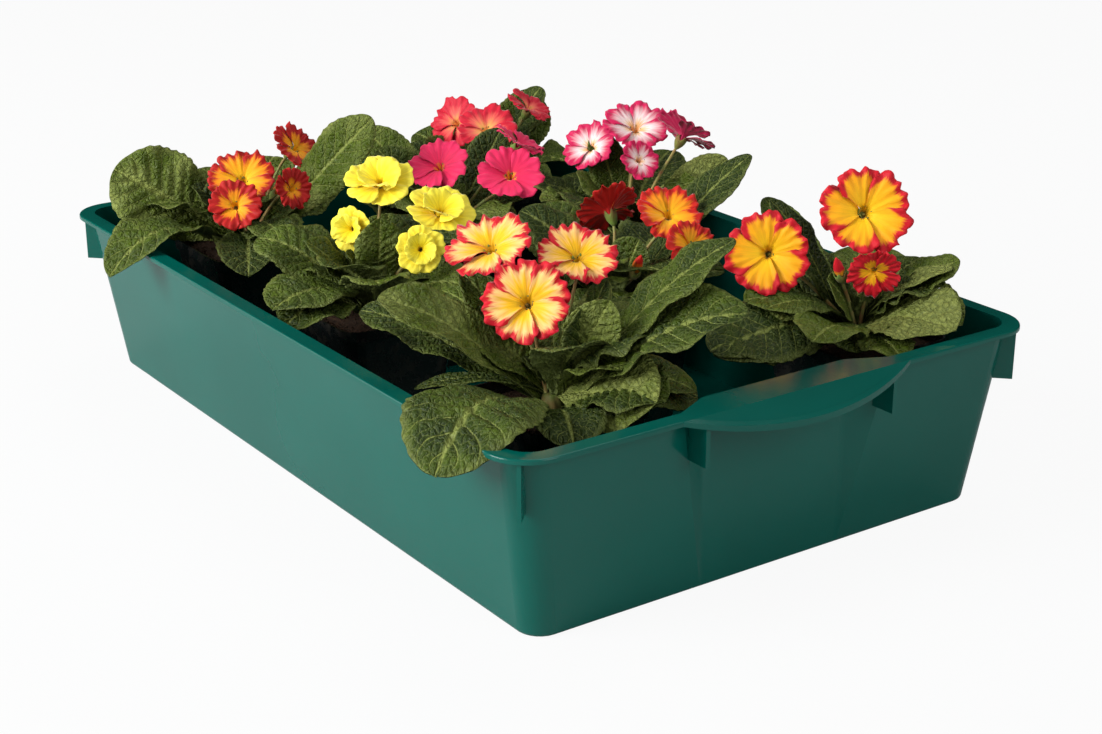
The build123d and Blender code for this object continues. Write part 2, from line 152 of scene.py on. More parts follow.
@dataclass(frozen=True)
class MouldedPolypropylene:
    """Injection-moulded, dyed polypropylene of the tray.

    Glossy with soft reflections, a slight cloudiness from the melt's flow, fine rub marks and a little dust.
    """

    body: str = "004B41"
    cloud: str = "005B50"
    dust: str = "1C584C"
    roughness: float = 0.17
    cloud_size: float = 110 * MM

    def make(self) -> bpy.types.Material:
        """Builds the tray's plastic."""
        material, tree, shader = new_material("polypropylene_injection_moulded", IOR=1.49)
        shader.inputs["Specular IOR Level"].default_value = 0.32
        where = add_node(tree, "ShaderNodeTexCoord").outputs["Object"]
        cloud = add_node(tree, "ShaderNodeTexNoise", {"Vector": where, "Scale": 1 / self.cloud_size, "Detail": 3.0})
        colour = add_node(
            tree, "ShaderNodeMix", {0: cloud.outputs["Fac"], 6: srgb(self.body), 7: srgb(self.cloud)},
            data_type="RGBA",
        )
        speck = add_node(tree, "ShaderNodeTexNoise", {"Vector": where, "Scale": 240.0, "Detail": 6.0, "Roughness": 0.7})
        dust = add_node(
            tree, "ShaderNodeMapRange",
            {"Value": speck.outputs["Fac"], "From Min": 0.62, "From Max": 0.78, "To Max": 0.16},
        )
        dusty = add_node(
            tree, "ShaderNodeMix", {0: dust.outputs["Result"], 6: colour.outputs[2], 7: srgb(self.dust)},
            data_type="RGBA",
        )
        tree.links.new(dusty.outputs[2], shader.inputs["Base Color"])
        rubs = add_node(tree, "ShaderNodeTexNoise", {"Vector": where, "Scale": 26.0, "Detail": 7.0, "Roughness": 0.7})
        rough = add_node(
            tree, "ShaderNodeMapRange",
            {"Value": rubs.outputs["Fac"], "From Min": 0.35, "From Max": 0.75, "To Min": self.roughness - 0.03,
             "To Max": self.roughness + 0.06},
        )
        tree.links.new(rough.outputs["Result"], shader.inputs["Roughness"])
        bump = add_node(
            tree, "ShaderNodeBump", {"Strength": 0.1, "Distance": 1.5 * MM, "Height": cloud.outputs["Fac"]}
        )
        tree.links.new(bump.outputs["Normal"], shader.inputs["Normal"])
        return material


@dataclass(frozen=True)
class ThermoformedPolystyrene:
    """Thin black thermoformed plastic of the pots: half gloss, with patches of dried soil film."""

    body: str = "141516"
    film: str = "3A332B"
    film_size: float = 9 * MM

    def make(self) -> bpy.types.Material:
        """Builds the pots' plastic."""
        material, tree, shader = new_material("polystyrene_thermoformed_black", IOR=1.55, Roughness=0.3)
        where = add_node(tree, "ShaderNodeTexCoord").outputs["Object"]
        patches = add_node(
            tree, "ShaderNodeTexNoise", {"Vector": where, "Scale": 1 / self.film_size, "Detail": 8.0, "Roughness": 0.65}
        )
        film = add_node(
            tree, "ShaderNodeMapRange",
            {"Value": patches.outputs["Fac"], "From Min": 0.5, "From Max": 0.72, "To Max": 0.6},
        )
        colour = add_node(
            tree, "ShaderNodeMix", {0: film.outputs["Result"], 6: srgb(self.body), 7: srgb(self.film)},
            data_type="RGBA",
        )
        tree.links.new(colour.outputs[2], shader.inputs["Base Color"])
        rough = add_node(
            tree, "ShaderNodeMapRange", {"Value": film.outputs["Result"], "To Min": 0.24, "To Max": 0.75}
        )
        tree.links.new(rough.outputs["Result"], shader.inputs["Roughness"])
        return material


@dataclass(frozen=True)
class MoistPeat:
    """Moist peat compost: dark brown crumbs with paler fibres and a few white grains."""

    damp: str = "1B120C"
    dry: str = "4A3424"
    fibre: str = "7A5B3C"
    crumb_size: float = 2.2 * MM

    def make(self) -> bpy.types.Material:
        """Builds the compost."""
        material, tree, shader = new_material("peat_compost_moist", Roughness=0.9)
        shader.inputs["Specular IOR Level"].default_value = 0.25
        where = add_node(tree, "ShaderNodeTexCoord").outputs["Object"]
        grain = add_node(
            tree, "ShaderNodeTexNoise", {"Vector": where, "Scale": 1 / self.crumb_size, "Detail": 9.0, "Roughness": 0.7}
        )
        ramp = add_node(tree, "ShaderNodeValToRGB", {"Fac": grain.outputs["Fac"]})
        fill_ramp(ramp, [(0.35, self.damp), (0.62, self.dry), (0.8, self.fibre)])
        tree.links.new(ramp.outputs["Color"], shader.inputs["Base Color"])
        bump = add_node(
            tree, "ShaderNodeBump", {"Strength": 0.9, "Distance": 1.2 * MM, "Height": grain.outputs["Fac"]}
        )
        tree.links.new(bump.outputs["Normal"], shader.inputs["Normal"])
        return material


@dataclass(frozen=True)
class PrimroseBlade:
    """A primrose leaf: wrinkled, fine-haired green skin between a net of paler veins, pale beneath, with painted shade
    darkening the grooves along the net.

    The pattern follows the blade field of the leaf: along it, across it, and a tone for each leaf.
    """

    deep: str = "26360B"
    green: str = "4C5E10"
    young: str = "88914A"
    vein: str = "949E50"
    beneath: str = "68743F"
    wither: str = "8A6A2E"
    side_veins: float = 11.0
    vein_slant: float = 0.17
    cell_size: float = 4.2 * MM

    def make(self) -> bpy.types.Material:
        """Builds the leaf's skin."""
        material, tree, shader = new_material("primrose_leaf_skin", IOR=1.42, Roughness=0.5)
        shader.inputs["Specular IOR Level"].default_value = 0.28
        blade = add_node(tree, "ShaderNodeAttribute", attribute_name="blade")
        parts = add_node(tree, "ShaderNodeSeparateXYZ", {"Vector": blade.outputs["Vector"]})
        along, across, tone = parts.outputs
        under = add_node(tree, "ShaderNodeAttribute", attribute_name="under").outputs["Fac"]
        flat = add_node(tree, "ShaderNodeUVMap", uv_map="UVMap").outputs["UV"]
        side = add_node(tree, "ShaderNodeMath", {0: across}, operation="ABSOLUTE").outputs[0]
        slant = add_node(tree, "ShaderNodeMath", {0: side, 1: self.vein_slant}, operation="MULTIPLY").outputs[0]
        swept = add_node(tree, "ShaderNodeMath", {0: along, 1: slant}, operation="SUBTRACT").outputs[0]
        offset = add_node(tree, "ShaderNodeMath", {0: across, 1: 0.0}, operation="GREATER_THAN").outputs[0]
        half = add_node(tree, "ShaderNodeMath", {0: offset, 1: 0.5}, operation="MULTIPLY").outputs[0]
        count = add_node(
            tree, "ShaderNodeMath", {0: swept, 1: self.side_veins, 2: half}, operation="MULTIPLY_ADD"
        ).outputs[0]
        turn = add_node(tree, "ShaderNodeMath", {0: count}, operation="FRACT").outputs[0]
        middle = add_node(tree, "ShaderNodeMath", {0: turn, 1: 0.5}, operation="SUBTRACT").outputs[0]
        away = add_node(tree, "ShaderNodeMath", {0: middle}, operation="ABSOLUTE").outputs[0]
        branch = add_node(
            tree, "ShaderNodeMapRange", {"Value": away, "From Min": 0.01, "From Max": 0.07, "To Min": 1.0, "To Max": 0.0},
            interpolation_type="SMOOTHSTEP",
        ).outputs["Result"]
        fade = add_node(
            tree, "ShaderNodeMapRange", {"Value": side, "From Min": 0.3, "From Max": 1.0, "To Min": 1.0, "To Max": 0.35}
        ).outputs["Result"]
        branch = add_node(tree, "ShaderNodeMath", {0: branch, 1: fade}, operation="MULTIPLY").outputs[0]
        rib = add_node(
            tree, "ShaderNodeMapRange", {"Value": side, "From Min": 0.02, "From Max": 0.1, "To Min": 1.0, "To Max": 0.0},
            interpolation_type="SMOOTHSTEP",
        ).outputs["Result"]
        wobble = add_node(tree, "ShaderNodeTexNoise", {"Vector": flat, "Scale": 14.0, "Detail": 2.0})
        bent = add_node(
            tree, "ShaderNodeVectorMath", {0: wobble.outputs["Color"], 1: (0.05, 0.05, 0.0), 2: flat},
            operation="MULTIPLY_ADD",
        ).outputs["Vector"]
        net = add_node(
            tree, "ShaderNodeTexVoronoi", {"Vector": bent, "Scale": 0.1 / self.cell_size},
            feature="DISTANCE_TO_EDGE", voronoi_dimensions="2D",
        ).outputs["Distance"]
        fine = add_node(
            tree, "ShaderNodeTexVoronoi", {"Vector": bent, "Scale": 0.25 / self.cell_size},
            feature="DISTANCE_TO_EDGE", voronoi_dimensions="2D",
        ).outputs["Distance"]
        net_line = add_node(
            tree, "ShaderNodeMapRange", {"Value": net, "From Min": 0.0, "From Max": 0.1, "To Min": 0.34, "To Max": 0.0},
            interpolation_type="SMOOTHSTEP",
        ).outputs["Result"]
        fine_line = add_node(
            tree, "ShaderNodeMapRange", {"Value": fine, "From Min": 0.0, "From Max": 0.1, "To Min": 0.1, "To Max": 0.0},
            interpolation_type="SMOOTHSTEP",
        ).outputs["Result"]
        main = add_node(tree, "ShaderNodeMath", {0: rib, 1: branch}, operation="MAXIMUM").outputs[0]
        minor = add_node(tree, "ShaderNodeMath", {0: net_line, 1: fine_line}, operation="MAXIMUM").outputs[0]
        veins = add_node(tree, "ShaderNodeMath", {0: main, 1: minor}, operation="MAXIMUM").outputs[0]
        where = add_node(tree, "ShaderNodeTexCoord").outputs["Object"]
        blotch = add_node(tree, "ShaderNodeTexNoise", {"Vector": where, "Scale": 45.0, "Detail": 4.0}).outputs["Fac"]
        mottled = add_node(tree, "ShaderNodeMath", {0: tone, 1: 0.75, 2: blotch}, operation="MULTIPLY_ADD").outputs[0]
        skin = add_node(tree, "ShaderNodeValToRGB", {"Fac": mottled})
        fill_ramp(skin, [(0.35, self.deep), (0.68, self.green), (1.0, self.young)])
        border = add_node(
            tree, "ShaderNodeMapRange", {"Value": side, "From Min": 0.8, "From Max": 1.0, "To Min": 0.0, "To Max": 0.45}
        ).outputs["Result"]
        lit = add_node(
            tree, "ShaderNodeMix", {0: border, 6: skin.outputs["Color"], 7: srgb(self.young)}, data_type="RGBA"
        ).outputs[2]
        # Painted shade: the colour darkens towards the deep green along the grooves of the vein net, where the bump
        # sinks the skin.
        crease_shade = add_node(
            tree, "ShaderNodeMapRange", {"Value": net, "From Max": 0.3, "To Min": 0.5, "To Max": 0.0},
            interpolation_type="SMOOTHSTEP",
        ).outputs["Result"]
        crease_shaded = add_node(tree, "ShaderNodeMix", {0: crease_shade, 6: lit, 7: srgb(self.deep)}, data_type="RGBA").outputs[2]
        shown = add_node(tree, "ShaderNodeMath", {0: veins, 1: 0.62}, operation="MULTIPLY").outputs[0]
        veined = add_node(tree, "ShaderNodeMix", {0: shown, 6: crease_shaded, 7: srgb(self.vein)}, data_type="RGBA").outputs[2]
        spot = add_node(
            tree, "ShaderNodeMapRange", {"Value": blotch, "From Min": 0.66, "From Max": 0.74, "To Max": 0.5}
        ).outputs["Result"]
        worn = add_node(tree, "ShaderNodeMath", {0: spot, 1: border}, operation="MULTIPLY").outputs[0]
        top = add_node(tree, "ShaderNodeMix", {0: worn, 6: veined, 7: srgb(self.wither)}, data_type="RGBA").outputs[2]
        back = add_node(
            tree, "ShaderNodeMix", {0: shown, 6: srgb(self.beneath), 7: srgb(self.vein)}, data_type="RGBA"
        ).outputs[2]
        colour = add_node(tree, "ShaderNodeMix", {0: under, 6: top, 7: back}, data_type="RGBA").outputs[2]
        tree.links.new(colour, shader.inputs["Base Color"])
        flesh = add_node(
            tree, "ShaderNodeMapRange", {"Value": net, "From Min": 0.0, "From Max": 0.4}, interpolation_type="SMOOTHSTEP"
        ).outputs["Result"]
        pillow = add_node(
            tree, "ShaderNodeMapRange", {"Value": fine, "From Max": 0.35, "To Max": 0.35}, interpolation_type="SMOOTHSTEP"
        ).outputs["Result"]
        heap = add_node(tree, "ShaderNodeMath", {0: flesh, 1: pillow}, operation="ADD").outputs[0]
        carved = add_node(tree, "ShaderNodeMath", {0: heap, 1: main}, operation="SUBTRACT").outputs[0]
        facing = add_node(
            tree, "ShaderNodeMapRange", {"Value": under, "To Min": 1.0, "To Max": -0.7}
        ).outputs["Result"]
        height = add_node(tree, "ShaderNodeMath", {0: carved, 1: facing}, operation="MULTIPLY").outputs[0]
        bump = add_node(tree, "ShaderNodeBump", {"Strength": 0.9, "Distance": 1.2 * MM, "Height": height})
        tree.links.new(bump.outputs["Normal"], shader.inputs["Normal"])
        rough = add_node(
            tree, "ShaderNodeMapRange", {"Value": blotch, "From Min": 0.3, "From Max": 0.7, "To Min": 0.42, "To Max": 0.62}
        ).outputs["Result"]
        tree.links.new(rough, shader.inputs["Roughness"])
        return material


@dataclass(frozen=True)
class VelvetPetal:
    """A primrose petal: velvety, with a golden eye that runs out in rays into a darker frilled border."""

    name: str
    eye: str
    body: str
    blush: str
    border: str
    back: str
    eye_end: float = 0.16
    body_end: float = 0.6
    border_start: float = 0.78
    ray: float = 0.22
    age: float = 0.12

    def make(self) -> bpy.types.Material:
        """Builds the petal's skin."""
        material, tree, shader = new_material(f"primrose_petal_{self.name}", Roughness=0.62)
        shader.inputs["Sheen Weight"].default_value = 0.25
        shader.inputs["Sheen Roughness"].default_value = 0.35
        shader.inputs["Specular IOR Level"].default_value = 0.3
        petal = add_node(tree, "ShaderNodeAttribute", attribute_name="petal")
        parts = add_node(tree, "ShaderNodeSeparateXYZ", {"Vector": petal.outputs["Vector"]})
        out, across, _ = parts.outputs
        under = add_node(tree, "ShaderNodeAttribute", attribute_name="under").outputs["Fac"]
        tone = add_node(tree, "ShaderNodeAttribute", attribute_name="tone").outputs["Fac"]
        fan = add_node(tree, "ShaderNodeCombineXYZ", {"X": across, "Y": out, "Z": tone})
        spread = add_node(tree, "ShaderNodeMapping", {"Vector": fan.outputs["Vector"], "Scale": (8.0, 1.3, 31.0)})
        rays = add_node(
            tree, "ShaderNodeTexNoise", {"Vector": spread.outputs["Vector"], "Scale": 1.0, "Detail": 5.0, "Roughness": 0.6}
        ).outputs["Fac"]
        side = add_node(tree, "ShaderNodeMath", {0: across}, operation="ABSOLUTE").outputs[0]
        rounded = add_node(tree, "ShaderNodeMath", {0: side, 1: 3.0}, operation="POWER").outputs[0]
        edge = add_node(tree, "ShaderNodeMath", {0: rounded, 1: 0.24, 2: out}, operation="MULTIPLY_ADD").outputs[0]
        pushed = add_node(
            tree, "ShaderNodeMapRange",
            {"Value": rays, "From Min": 0.3, "From Max": 0.7, "To Min": -self.ray / 2, "To Max": self.ray / 2},
        ).outputs["Result"]
        reach = add_node(tree, "ShaderNodeMath", {0: edge, 1: pushed}, operation="ADD").outputs[0]
        aged = add_node(tree, "ShaderNodeMath", {0: tone, 1: self.age, 2: reach}, operation="MULTIPLY_ADD").outputs[0]
        face = add_node(tree, "ShaderNodeValToRGB", {"Fac": aged})
        fill_ramp(
            face,
            [(0.0, self.eye), (self.eye_end, self.body), (self.body_end, self.blush), (self.border_start, self.border)],
        )
        shade = add_node(
            tree, "ShaderNodeMapRange", {"Value": rays, "From Min": 0.25, "From Max": 0.75, "To Min": 0.8, "To Max": 1.12}
        ).outputs["Result"]
        streaked = add_node(tree, "ShaderNodeHueSaturation", {"Value": shade, "Color": face.outputs["Color"]})
        rear = add_node(tree, "ShaderNodeHueSaturation", {"Value": shade, "Color": srgb(self.back)})
        colour = add_node(
            tree, "ShaderNodeMix", {0: under, 6: streaked.outputs["Color"], 7: rear.outputs["Color"]}, data_type="RGBA"
        ).outputs[2]
        tree.links.new(colour, shader.inputs["Base Color"])
        bump = add_node(tree, "ShaderNodeBump", {"Strength": 0.5, "Distance": 0.5 * MM, "Height": rays})
        tree.links.new(bump.outputs["Normal"], shader.inputs["Normal"])
        return material


@dataclass(frozen=True)
class DownyStem:
    """Fine-haired skin of stalks, calyxes and crowns: pale green with a brownish flush."""

    name: str
    green: str
    flush: str
    patch_size: float = 7 * MM

    def make(self) -> bpy.types.Material:
        """Builds the stem's skin."""
        material, tree, shader = new_material(f"primrose_{self.name}_skin", Roughness=0.6)
        shader.inputs["Sheen Weight"].default_value = 0.1
        shader.inputs["Specular IOR Level"].default_value = 0.2
        where = add_node(tree, "ShaderNodeTexCoord").outputs["Object"]
        patch = add_node(
            tree, "ShaderNodeTexNoise", {"Vector": where, "Scale": 1 / self.patch_size, "Detail": 5.0}
        ).outputs["Fac"]
        ramp = add_node(tree, "ShaderNodeValToRGB", {"Fac": patch})
        fill_ramp(ramp, [(0.35, self.green), (0.7, self.flush)])
        tree.links.new(ramp.outputs["Color"], shader.inputs["Base Color"])
        ridges = add_node(tree, "ShaderNodeMapping", {"Vector": where, "Scale": (900.0, 900.0, 120.0)})
        fibre = add_node(tree, "ShaderNodeTexNoise", {"Vector": ridges.outputs["Vector"], "Scale": 1.0}).outputs["Fac"]
        bump = add_node(tree, "ShaderNodeBump", {"Strength": 0.4, "Distance": 0.3 * MM, "Height": fibre})
        tree.links.new(bump.outputs["Normal"], shader.inputs["Normal"])
        return material


@dataclass
class Shell:
    """A closed mesh as arrays: points, faces, and named fields with a value for each point."""

    points: np.ndarray
    faces: list[tuple[int, ...]]
    fields: dict[str, np.ndarray] = field(default_factory=dict)

    def moved(self, turn: np.ndarray, shift: np.ndarray) -> "Shell":
        """Returns the shell turned by a 3 by 3 matrix and then shifted."""
        return Shell(self.points @ turn.T + shift, self.faces, self.fields)


def wall_between(top: np.ndarray, bottom: np.ndarray) -> tuple[np.ndarray, list[tuple[int, ...]]]:
    """Closes two grids of points into one shell, the first one facing outwards.

    Args:
        top: Points by row and column, counter-clockwise seen from outside.
        bottom: The same grid on the other side of the wall.

    Returns:
        All points, and the faces.
    """
    rows, columns = top.shape[:2]
    count = rows * columns
    index = np.arange(count).reshape(rows, columns)
    upper = np.stack([index[:-1, :-1], index[:-1, 1:], index[1:, 1:], index[1:, :-1]], -1).reshape(-1, 4)
    lower = upper[:, ::-1] + count
    loop = np.concatenate([index[0, :], index[1:, -1], index[-1, -2::-1], index[-2:0:-1, 0]])
    after = np.roll(loop, -1)
    rim = np.stack([loop, loop + count, after + count, after], -1)
    faces = np.concatenate([upper, lower, rim])
    return np.concatenate([top.reshape(-1, 3), bottom.reshape(-1, 3)]), [tuple(face) for face in faces.tolist()]


def tube_of(rings: list[np.ndarray]) -> tuple[np.ndarray, list[tuple[int, ...]]]:
    """Joins rings of points into a closed body with a face at each end.

    Args:
        rings: Rings with as many points each, counter-clockwise about the way that they follow.

    Returns:
        All points, and the faces.
    """
    count = len(rings[0])
    faces = [tuple(range(count))[::-1], tuple((len(rings) - 1) * count + side for side in range(count))]
    for level in range(len(rings) - 1):
        for side in range(count):
            after = (side + 1) % count
            low, high = level * count, (level + 1) * count
            faces.append((low + side, low + after, high + after, high + side))
    return np.concatenate(rings), faces


def mesh_object(name: str, shells: list[Shell], material: bpy.types.Material) -> bpy.types.Object:
    """Makes one smooth mesh object of several shells, with their fields as attributes.

    Args:
        name: The object's name.
        shells: Closed meshes with the same fields.
        material: The finish of the whole object.

    Returns:
        The object, linked to the scene, at the origin.
    """
    points = np.concatenate([shell.points for shell in shells])
    faces: list[tuple[int, ...]] = []
    first = 0
    for shell in shells:
        faces.extend(tuple(corner + first for corner in face) for face in shell.faces)
        first += len(shell.points)
    mesh = bpy.data.meshes.new(name)
    mesh.from_pydata(points.tolist(), [], faces)
    mesh.polygons.foreach_set("use_smooth", [True] * len(mesh.polygons))
    for key in shells[0].fields:
        values = np.concatenate([shell.fields[key] for shell in shells])
        if key == "UVMap":
            corners = np.zeros(len(mesh.loops), np.int32)
            mesh.loops.foreach_get("vertex_index", corners)
            mesh.uv_layers.new(name=key).data.foreach_set("uv", values[corners].ravel())
        elif values.ndim == 2:
            mesh.attributes.new(key, "FLOAT_VECTOR", "POINT").data.foreach_set("vector", values.ravel())
        else:
            mesh.attributes.new(key, "FLOAT", "POINT").data.foreach_set("value", values)
    mesh.materials.append(material)
    made = bpy.data.objects.new(name, mesh)
    bpy.context.scene.collection.objects.link(made)
    return made


def solids_of(node: str) -> list[np.ndarray]:
    """Finds the separate solids of a CAD node.

    Args:
        node: The node's name.

    Returns:
        For each solid, its different corners as rows of X, Y and Z.
    """
    mesh = frame["nodes"][node].data
    places = np.array([vertex.co for vertex in mesh.vertices])
    keys, corner = np.unique(np.round(places / (0.001 * MM)).astype(np.int64), axis=0, return_inverse=True)
    corner = corner.ravel()
    owner = np.arange(len(keys))
    edges = np.array([[corner[a], corner[b]] for a, b in mesh.edge_keys])
    while True:
        lowest = np.minimum(owner[edges[:, 0]], owner[edges[:, 1]])
        before = owner.copy()
        np.minimum.at(owner, edges[:, 0], lowest)
        np.minimum.at(owner, edges[:, 1], lowest)
        owner = owner[owner]
        if np.array_equal(before, owner):
            break
    return [keys[owner == solid] * (0.001 * MM) for solid in np.unique(owner)]


def unit(vector: np.ndarray) -> np.ndarray:
    """Returns a vector's direction."""
    return vector / np.linalg.norm(vector)


def cell_puckers(x: np.ndarray, y: np.ndarray, size: float, seed: int) -> np.ndarray:
    """Pillows between the lines of a random net, as in a wrinkled leaf.

    Args:
        x: Places across.
        y: Places along.
        size: Width of a cell.
        seed: Which random net.

    Returns:
        From 0 on a line of the net to 1 in the middle of a cell.
    """
    near = np.full(x.shape, 9.0)
    second = np.full(x.shape, 9.0)
    column, row = np.floor(x / size), np.floor(y / size)
    for step_x in (-1, 0, 1):
        for step_y in (-1, 0, 1):
            cell_x, cell_y = column + step_x, row + step_y
            spin = np.sin(cell_x * 127.1 + cell_y * 311.7 + seed * 17.3) * 43758.5
            lean = np.sin(cell_x * 269.5 + cell_y * 183.3 + seed * 7.9) * 24634.6
            gap_x = cell_x + (spin - np.floor(spin)) - x / size
            gap_y = cell_y + (lean - np.floor(lean)) - y / size
            gap = np.hypot(gap_x, gap_y)
            second = np.where(gap < near, near, np.minimum(second, gap))
            near = np.minimum(near, gap)
    return np.clip((second - near) / 0.6, 0, 1) ** 0.7


@dataclass
class BladeFrame:
    """How one leaf lies: its root, directions, length, half width and the rise of its middle line."""

    root: np.ndarray
    heading: np.ndarray
    across: np.ndarray
    up: np.ndarray
    length: float
    half_width: float
    rise: np.ndarray

    @classmethod
    def of_solid(cls, corners: np.ndarray, crown: np.ndarray) -> "BladeFrame":
        """Reads a leaf's frame from its plain folded solid.

        Args:
            corners: The solid's corners, four for each section along it.
            crown: The middle of the plant's crown.

        Returns:
            The leaf's frame.
        """
        near = corners[np.argsort(np.linalg.norm(corners - crown, axis=1))[:4]].mean(0)
        far = corners[np.argsort(np.linalg.norm(corners - near, axis=1))[-4:]].mean(0)
        order = np.argsort((corners - near) @ unit(far - near))
        sections = corners[order].reshape(-1, 4, 3)
        widest = sections[-2]
        gaps = np.linalg.norm(widest[:, None] - widest[None], axis=2)
        one, other = np.unravel_index(np.argmax(gaps), gaps.shape)
        across = unit(widest[other] - widest[one])
        middles = []
        for section in sections:
            sideways = np.abs((section - section.mean(0)) @ across)
            middles.append(section[np.argsort(sideways)[:2]].mean(0))
        middles = np.array(middles)
        chord = middles[-1] - middles[0]
        heading = unit(chord)
        fold = (widest[one] + widest[other]) / 2 - middles[-2]
        up = unit(np.cross(across, heading))
        if up @ fold < 0:
            across, up = -across, -up
        length = float(np.linalg.norm(chord))
        shares = (middles - middles[0]) @ heading / length
        heights = (middles - middles[0]) @ up
        rise = np.polyfit(shares, heights, len(shares) - 1)
        return cls(middles[0], heading, across, up, length, float(gaps.max()) / 2, rise)

    @classmethod
    def young(cls, crown: np.ndarray, azimuth: float, elevation: float, length: float) -> "BladeFrame":
        """Places a small leaf that grows up out of the middle of the crown.

        Args:
            crown: The middle of the crown's top.
            azimuth: Which way it leans, in radians.
            elevation: How steeply it stands, in radians.
            length: Its length.

        Returns:
            The leaf's frame.
        """
        flat = np.array([math.cos(azimuth), math.sin(azimuth), 0.0])
        heading = flat * math.cos(elevation) + UP * math.sin(elevation)
        across = np.array([-math.sin(azimuth), math.cos(azimuth), 0.0]) * -1
        up = np.cross(across, heading)
        rise = np.array([-0.5 * length, 0.5 * length, 0.0])
        return cls(crown + flat * 3.5 * MM, heading, across, up, length, length * 0.24, rise)

    def turn(self, share: float) -> None:
        """Turns the blade about its middle line toward the front right corner, where the light comes from."""
        faced = self.up * (1 - share) + FRONT_CORNER * share
        self.up = unit(faced - self.heading * (faced @ self.heading))
        self.across = np.cross(self.heading, self.up)

    def swing(self, angle: float, arch_kept: float) -> None:
        """Swings the leaf about the plant's upright axis and flattens its arch.

        Args:
            angle: How far it swings, in radians, seen from above counterclockwise.
            arch_kept: The share of its arch that stays.
        """
        cosine, sine = math.cos(angle), math.sin(angle)
        about = np.array([[cosine, -sine, 0.0], [sine, cosine, 0.0], [0.0, 0.0, 1.0]])
        self.heading, self.across, self.up = about @ self.heading, about @ self.across, about @ self.up
        self.rise = self.rise * arch_kept


@dataclass(frozen=True)
class AimedLeaf:
    """A leaf whose tip lies at a known place, in millimetres in the tray's frame.

    The blade looks up, or as far as "turned" says to the front right corner of the tray.
    """

    tip: tuple[float, float, float]
    half_width: float
    arch: float
    turned: float
    tone: float

    def frame(self, crown: np.ndarray) -> BladeFrame:
        """Returns the leaf's frame, from the crown to its tip."""
        away = np.array(self.tip) * MM - crown
        root = crown + unit(away * np.array([1.0, 1.0, 0.0])) * 3.5 * MM
        away = np.array(self.tip) * MM - root
        length = float(np.linalg.norm(away))
        heading = away / length
        rise = np.array([-4 * self.arch * length, 4 * self.arch * length, 0.0])
        frame = BladeFrame(root, heading, UP, UP, length, self.half_width * MM, rise)
        frame.turn(self.turned)
        return frame


AIMED_LEAVES = {
    1: [
        AimedLeaf((-113, -145, 106), 19, 0.1, 0.0, -0.3),
        AimedLeaf((-219, -118, 150), 17, 0.05, 0.6, -0.05),
        AimedLeaf((-182, -65, 140), 15, 0.1, 0.4, -0.1),
        AimedLeaf((-122, -113, 120), 15, 0.16, 0.1, -0.15),
    ],
    2: [
        AimedLeaf((-118, -132, 128), 20, 0.14, 0.25, 0.1),
        AimedLeaf((-59, -137, 113), 15, 0.14, 0.1, 0.0),
        AimedLeaf((3, -187, 123), 24, 0.12, 0.1, 0.05),
        AimedLeaf((-54, -66, 152), 18, 0.02, 1.0, 0.1),
        AimedLeaf((14, -59, 126), 13, 0.14, 0.1, 0.05),
    ],
    3: [
        AimedLeaf((-215, 14, 172), 16, 0.02, 0.9, 0.2),
        AimedLeaf((-187, 6, 160), 17, 0.02, 0.6, -0.05),
        AimedLeaf((-163, 104, 166), 14, 0.02, 1.0, -0.2),
        AimedLeaf((-134, 120, 140), 15, 0.06, 0.5, -0.05),
        AimedLeaf((-57, 30, 116), 15, 0.14, 0.1, 0.0),
        AimedLeaf((-84, -14, 118), 15, 0.14, 0.1, -0.1),
    ],
    4: [
        AimedLeaf((6, 192, 162), 15, 0.02, 0.8, 0.7),
        AimedLeaf((-23, 182, 142), 13, 0.04, 0.7, 0.6),
        AimedLeaf((-86, 131, 142), 15, 0.06, 0.6, 0.1),
        AimedLeaf((-79, 139, 178), 13, 0.02, 0.6, 0.05),
        AimedLeaf((23, 108, 118), 15, 0.14, 0.1, -0.1),
    ],
    5: [
        AimedLeaf((105, 75, 126), 15, 0.14, 0.1, -0.1),
        AimedLeaf((-18, 34, 150), 21, 0.06, 0.7, 0.0),
        AimedLeaf((120, -16, 112), 15, 0.14, 0.0, -0.15),
        AimedLeaf((90, 44, 150), 14, 0.04, 0.6, -0.05),
        AimedLeaf((47, 9, 130), 16, 0.12, 0.2, -0.1),
    ],
    6: [
        AimedLeaf((78, -106, 140), 14, 0.1, 0.3, 0.1),
        AimedLeaf((218, -80, 168), 14, 0.03, 1.0, 0.45),
        AimedLeaf((266, -78, 121), 24, 0.05, 0.6, 0.55),
        AimedLeaf((151, -170, 112), 8, 0.1, 0.0, -0.35),
        AimedLeaf((253, -39, 113), 17, 0.16, 0.1, 0.0),
        AimedLeaf((181, -55, 166), 8, 0.02, 0.8, 0.7),
        AimedLeaf((148, -128, 138), 20, 0.1, 0.2, 0.3),
        AimedLeaf((210, -48, 140), 16, 0.08, 0.4, 0.1),
    ],
    7: [
        AimedLeaf((199, 22, 104), 26, 0.12, 0.35, -0.3),
        AimedLeaf((191, 64, 128), 15, 0.14, 0.1, 0.0),
        AimedLeaf((288, 138, 126), 24, 0.1, 0.45, 0.75),
        AimedLeaf((253, 168, 150), 12, 0.12, 0.1, 0.8),
        AimedLeaf((220, 160, 142), 16, 0.06, 0.5, -0.35),
        AimedLeaf((244, 97, 106), 16, 0.14, 0.0, -0.1),
        AimedLeaf((100, 144, 166), 11, 0.03, 0.7, -0.05),
        AimedLeaf((210, 102, 142), 13, 0.06, 0.5, 0.1),
    ],
    8: [
        AimedLeaf((-239, 189, 168), 20, 0.03, 0.9, 0.12),
        AimedLeaf((-232, 75, 140), 16, 0.06, 0.5, 0.0),
        AimedLeaf((-136, 132, 122), 15, 0.12, 0.2, -0.1),
    ],
}


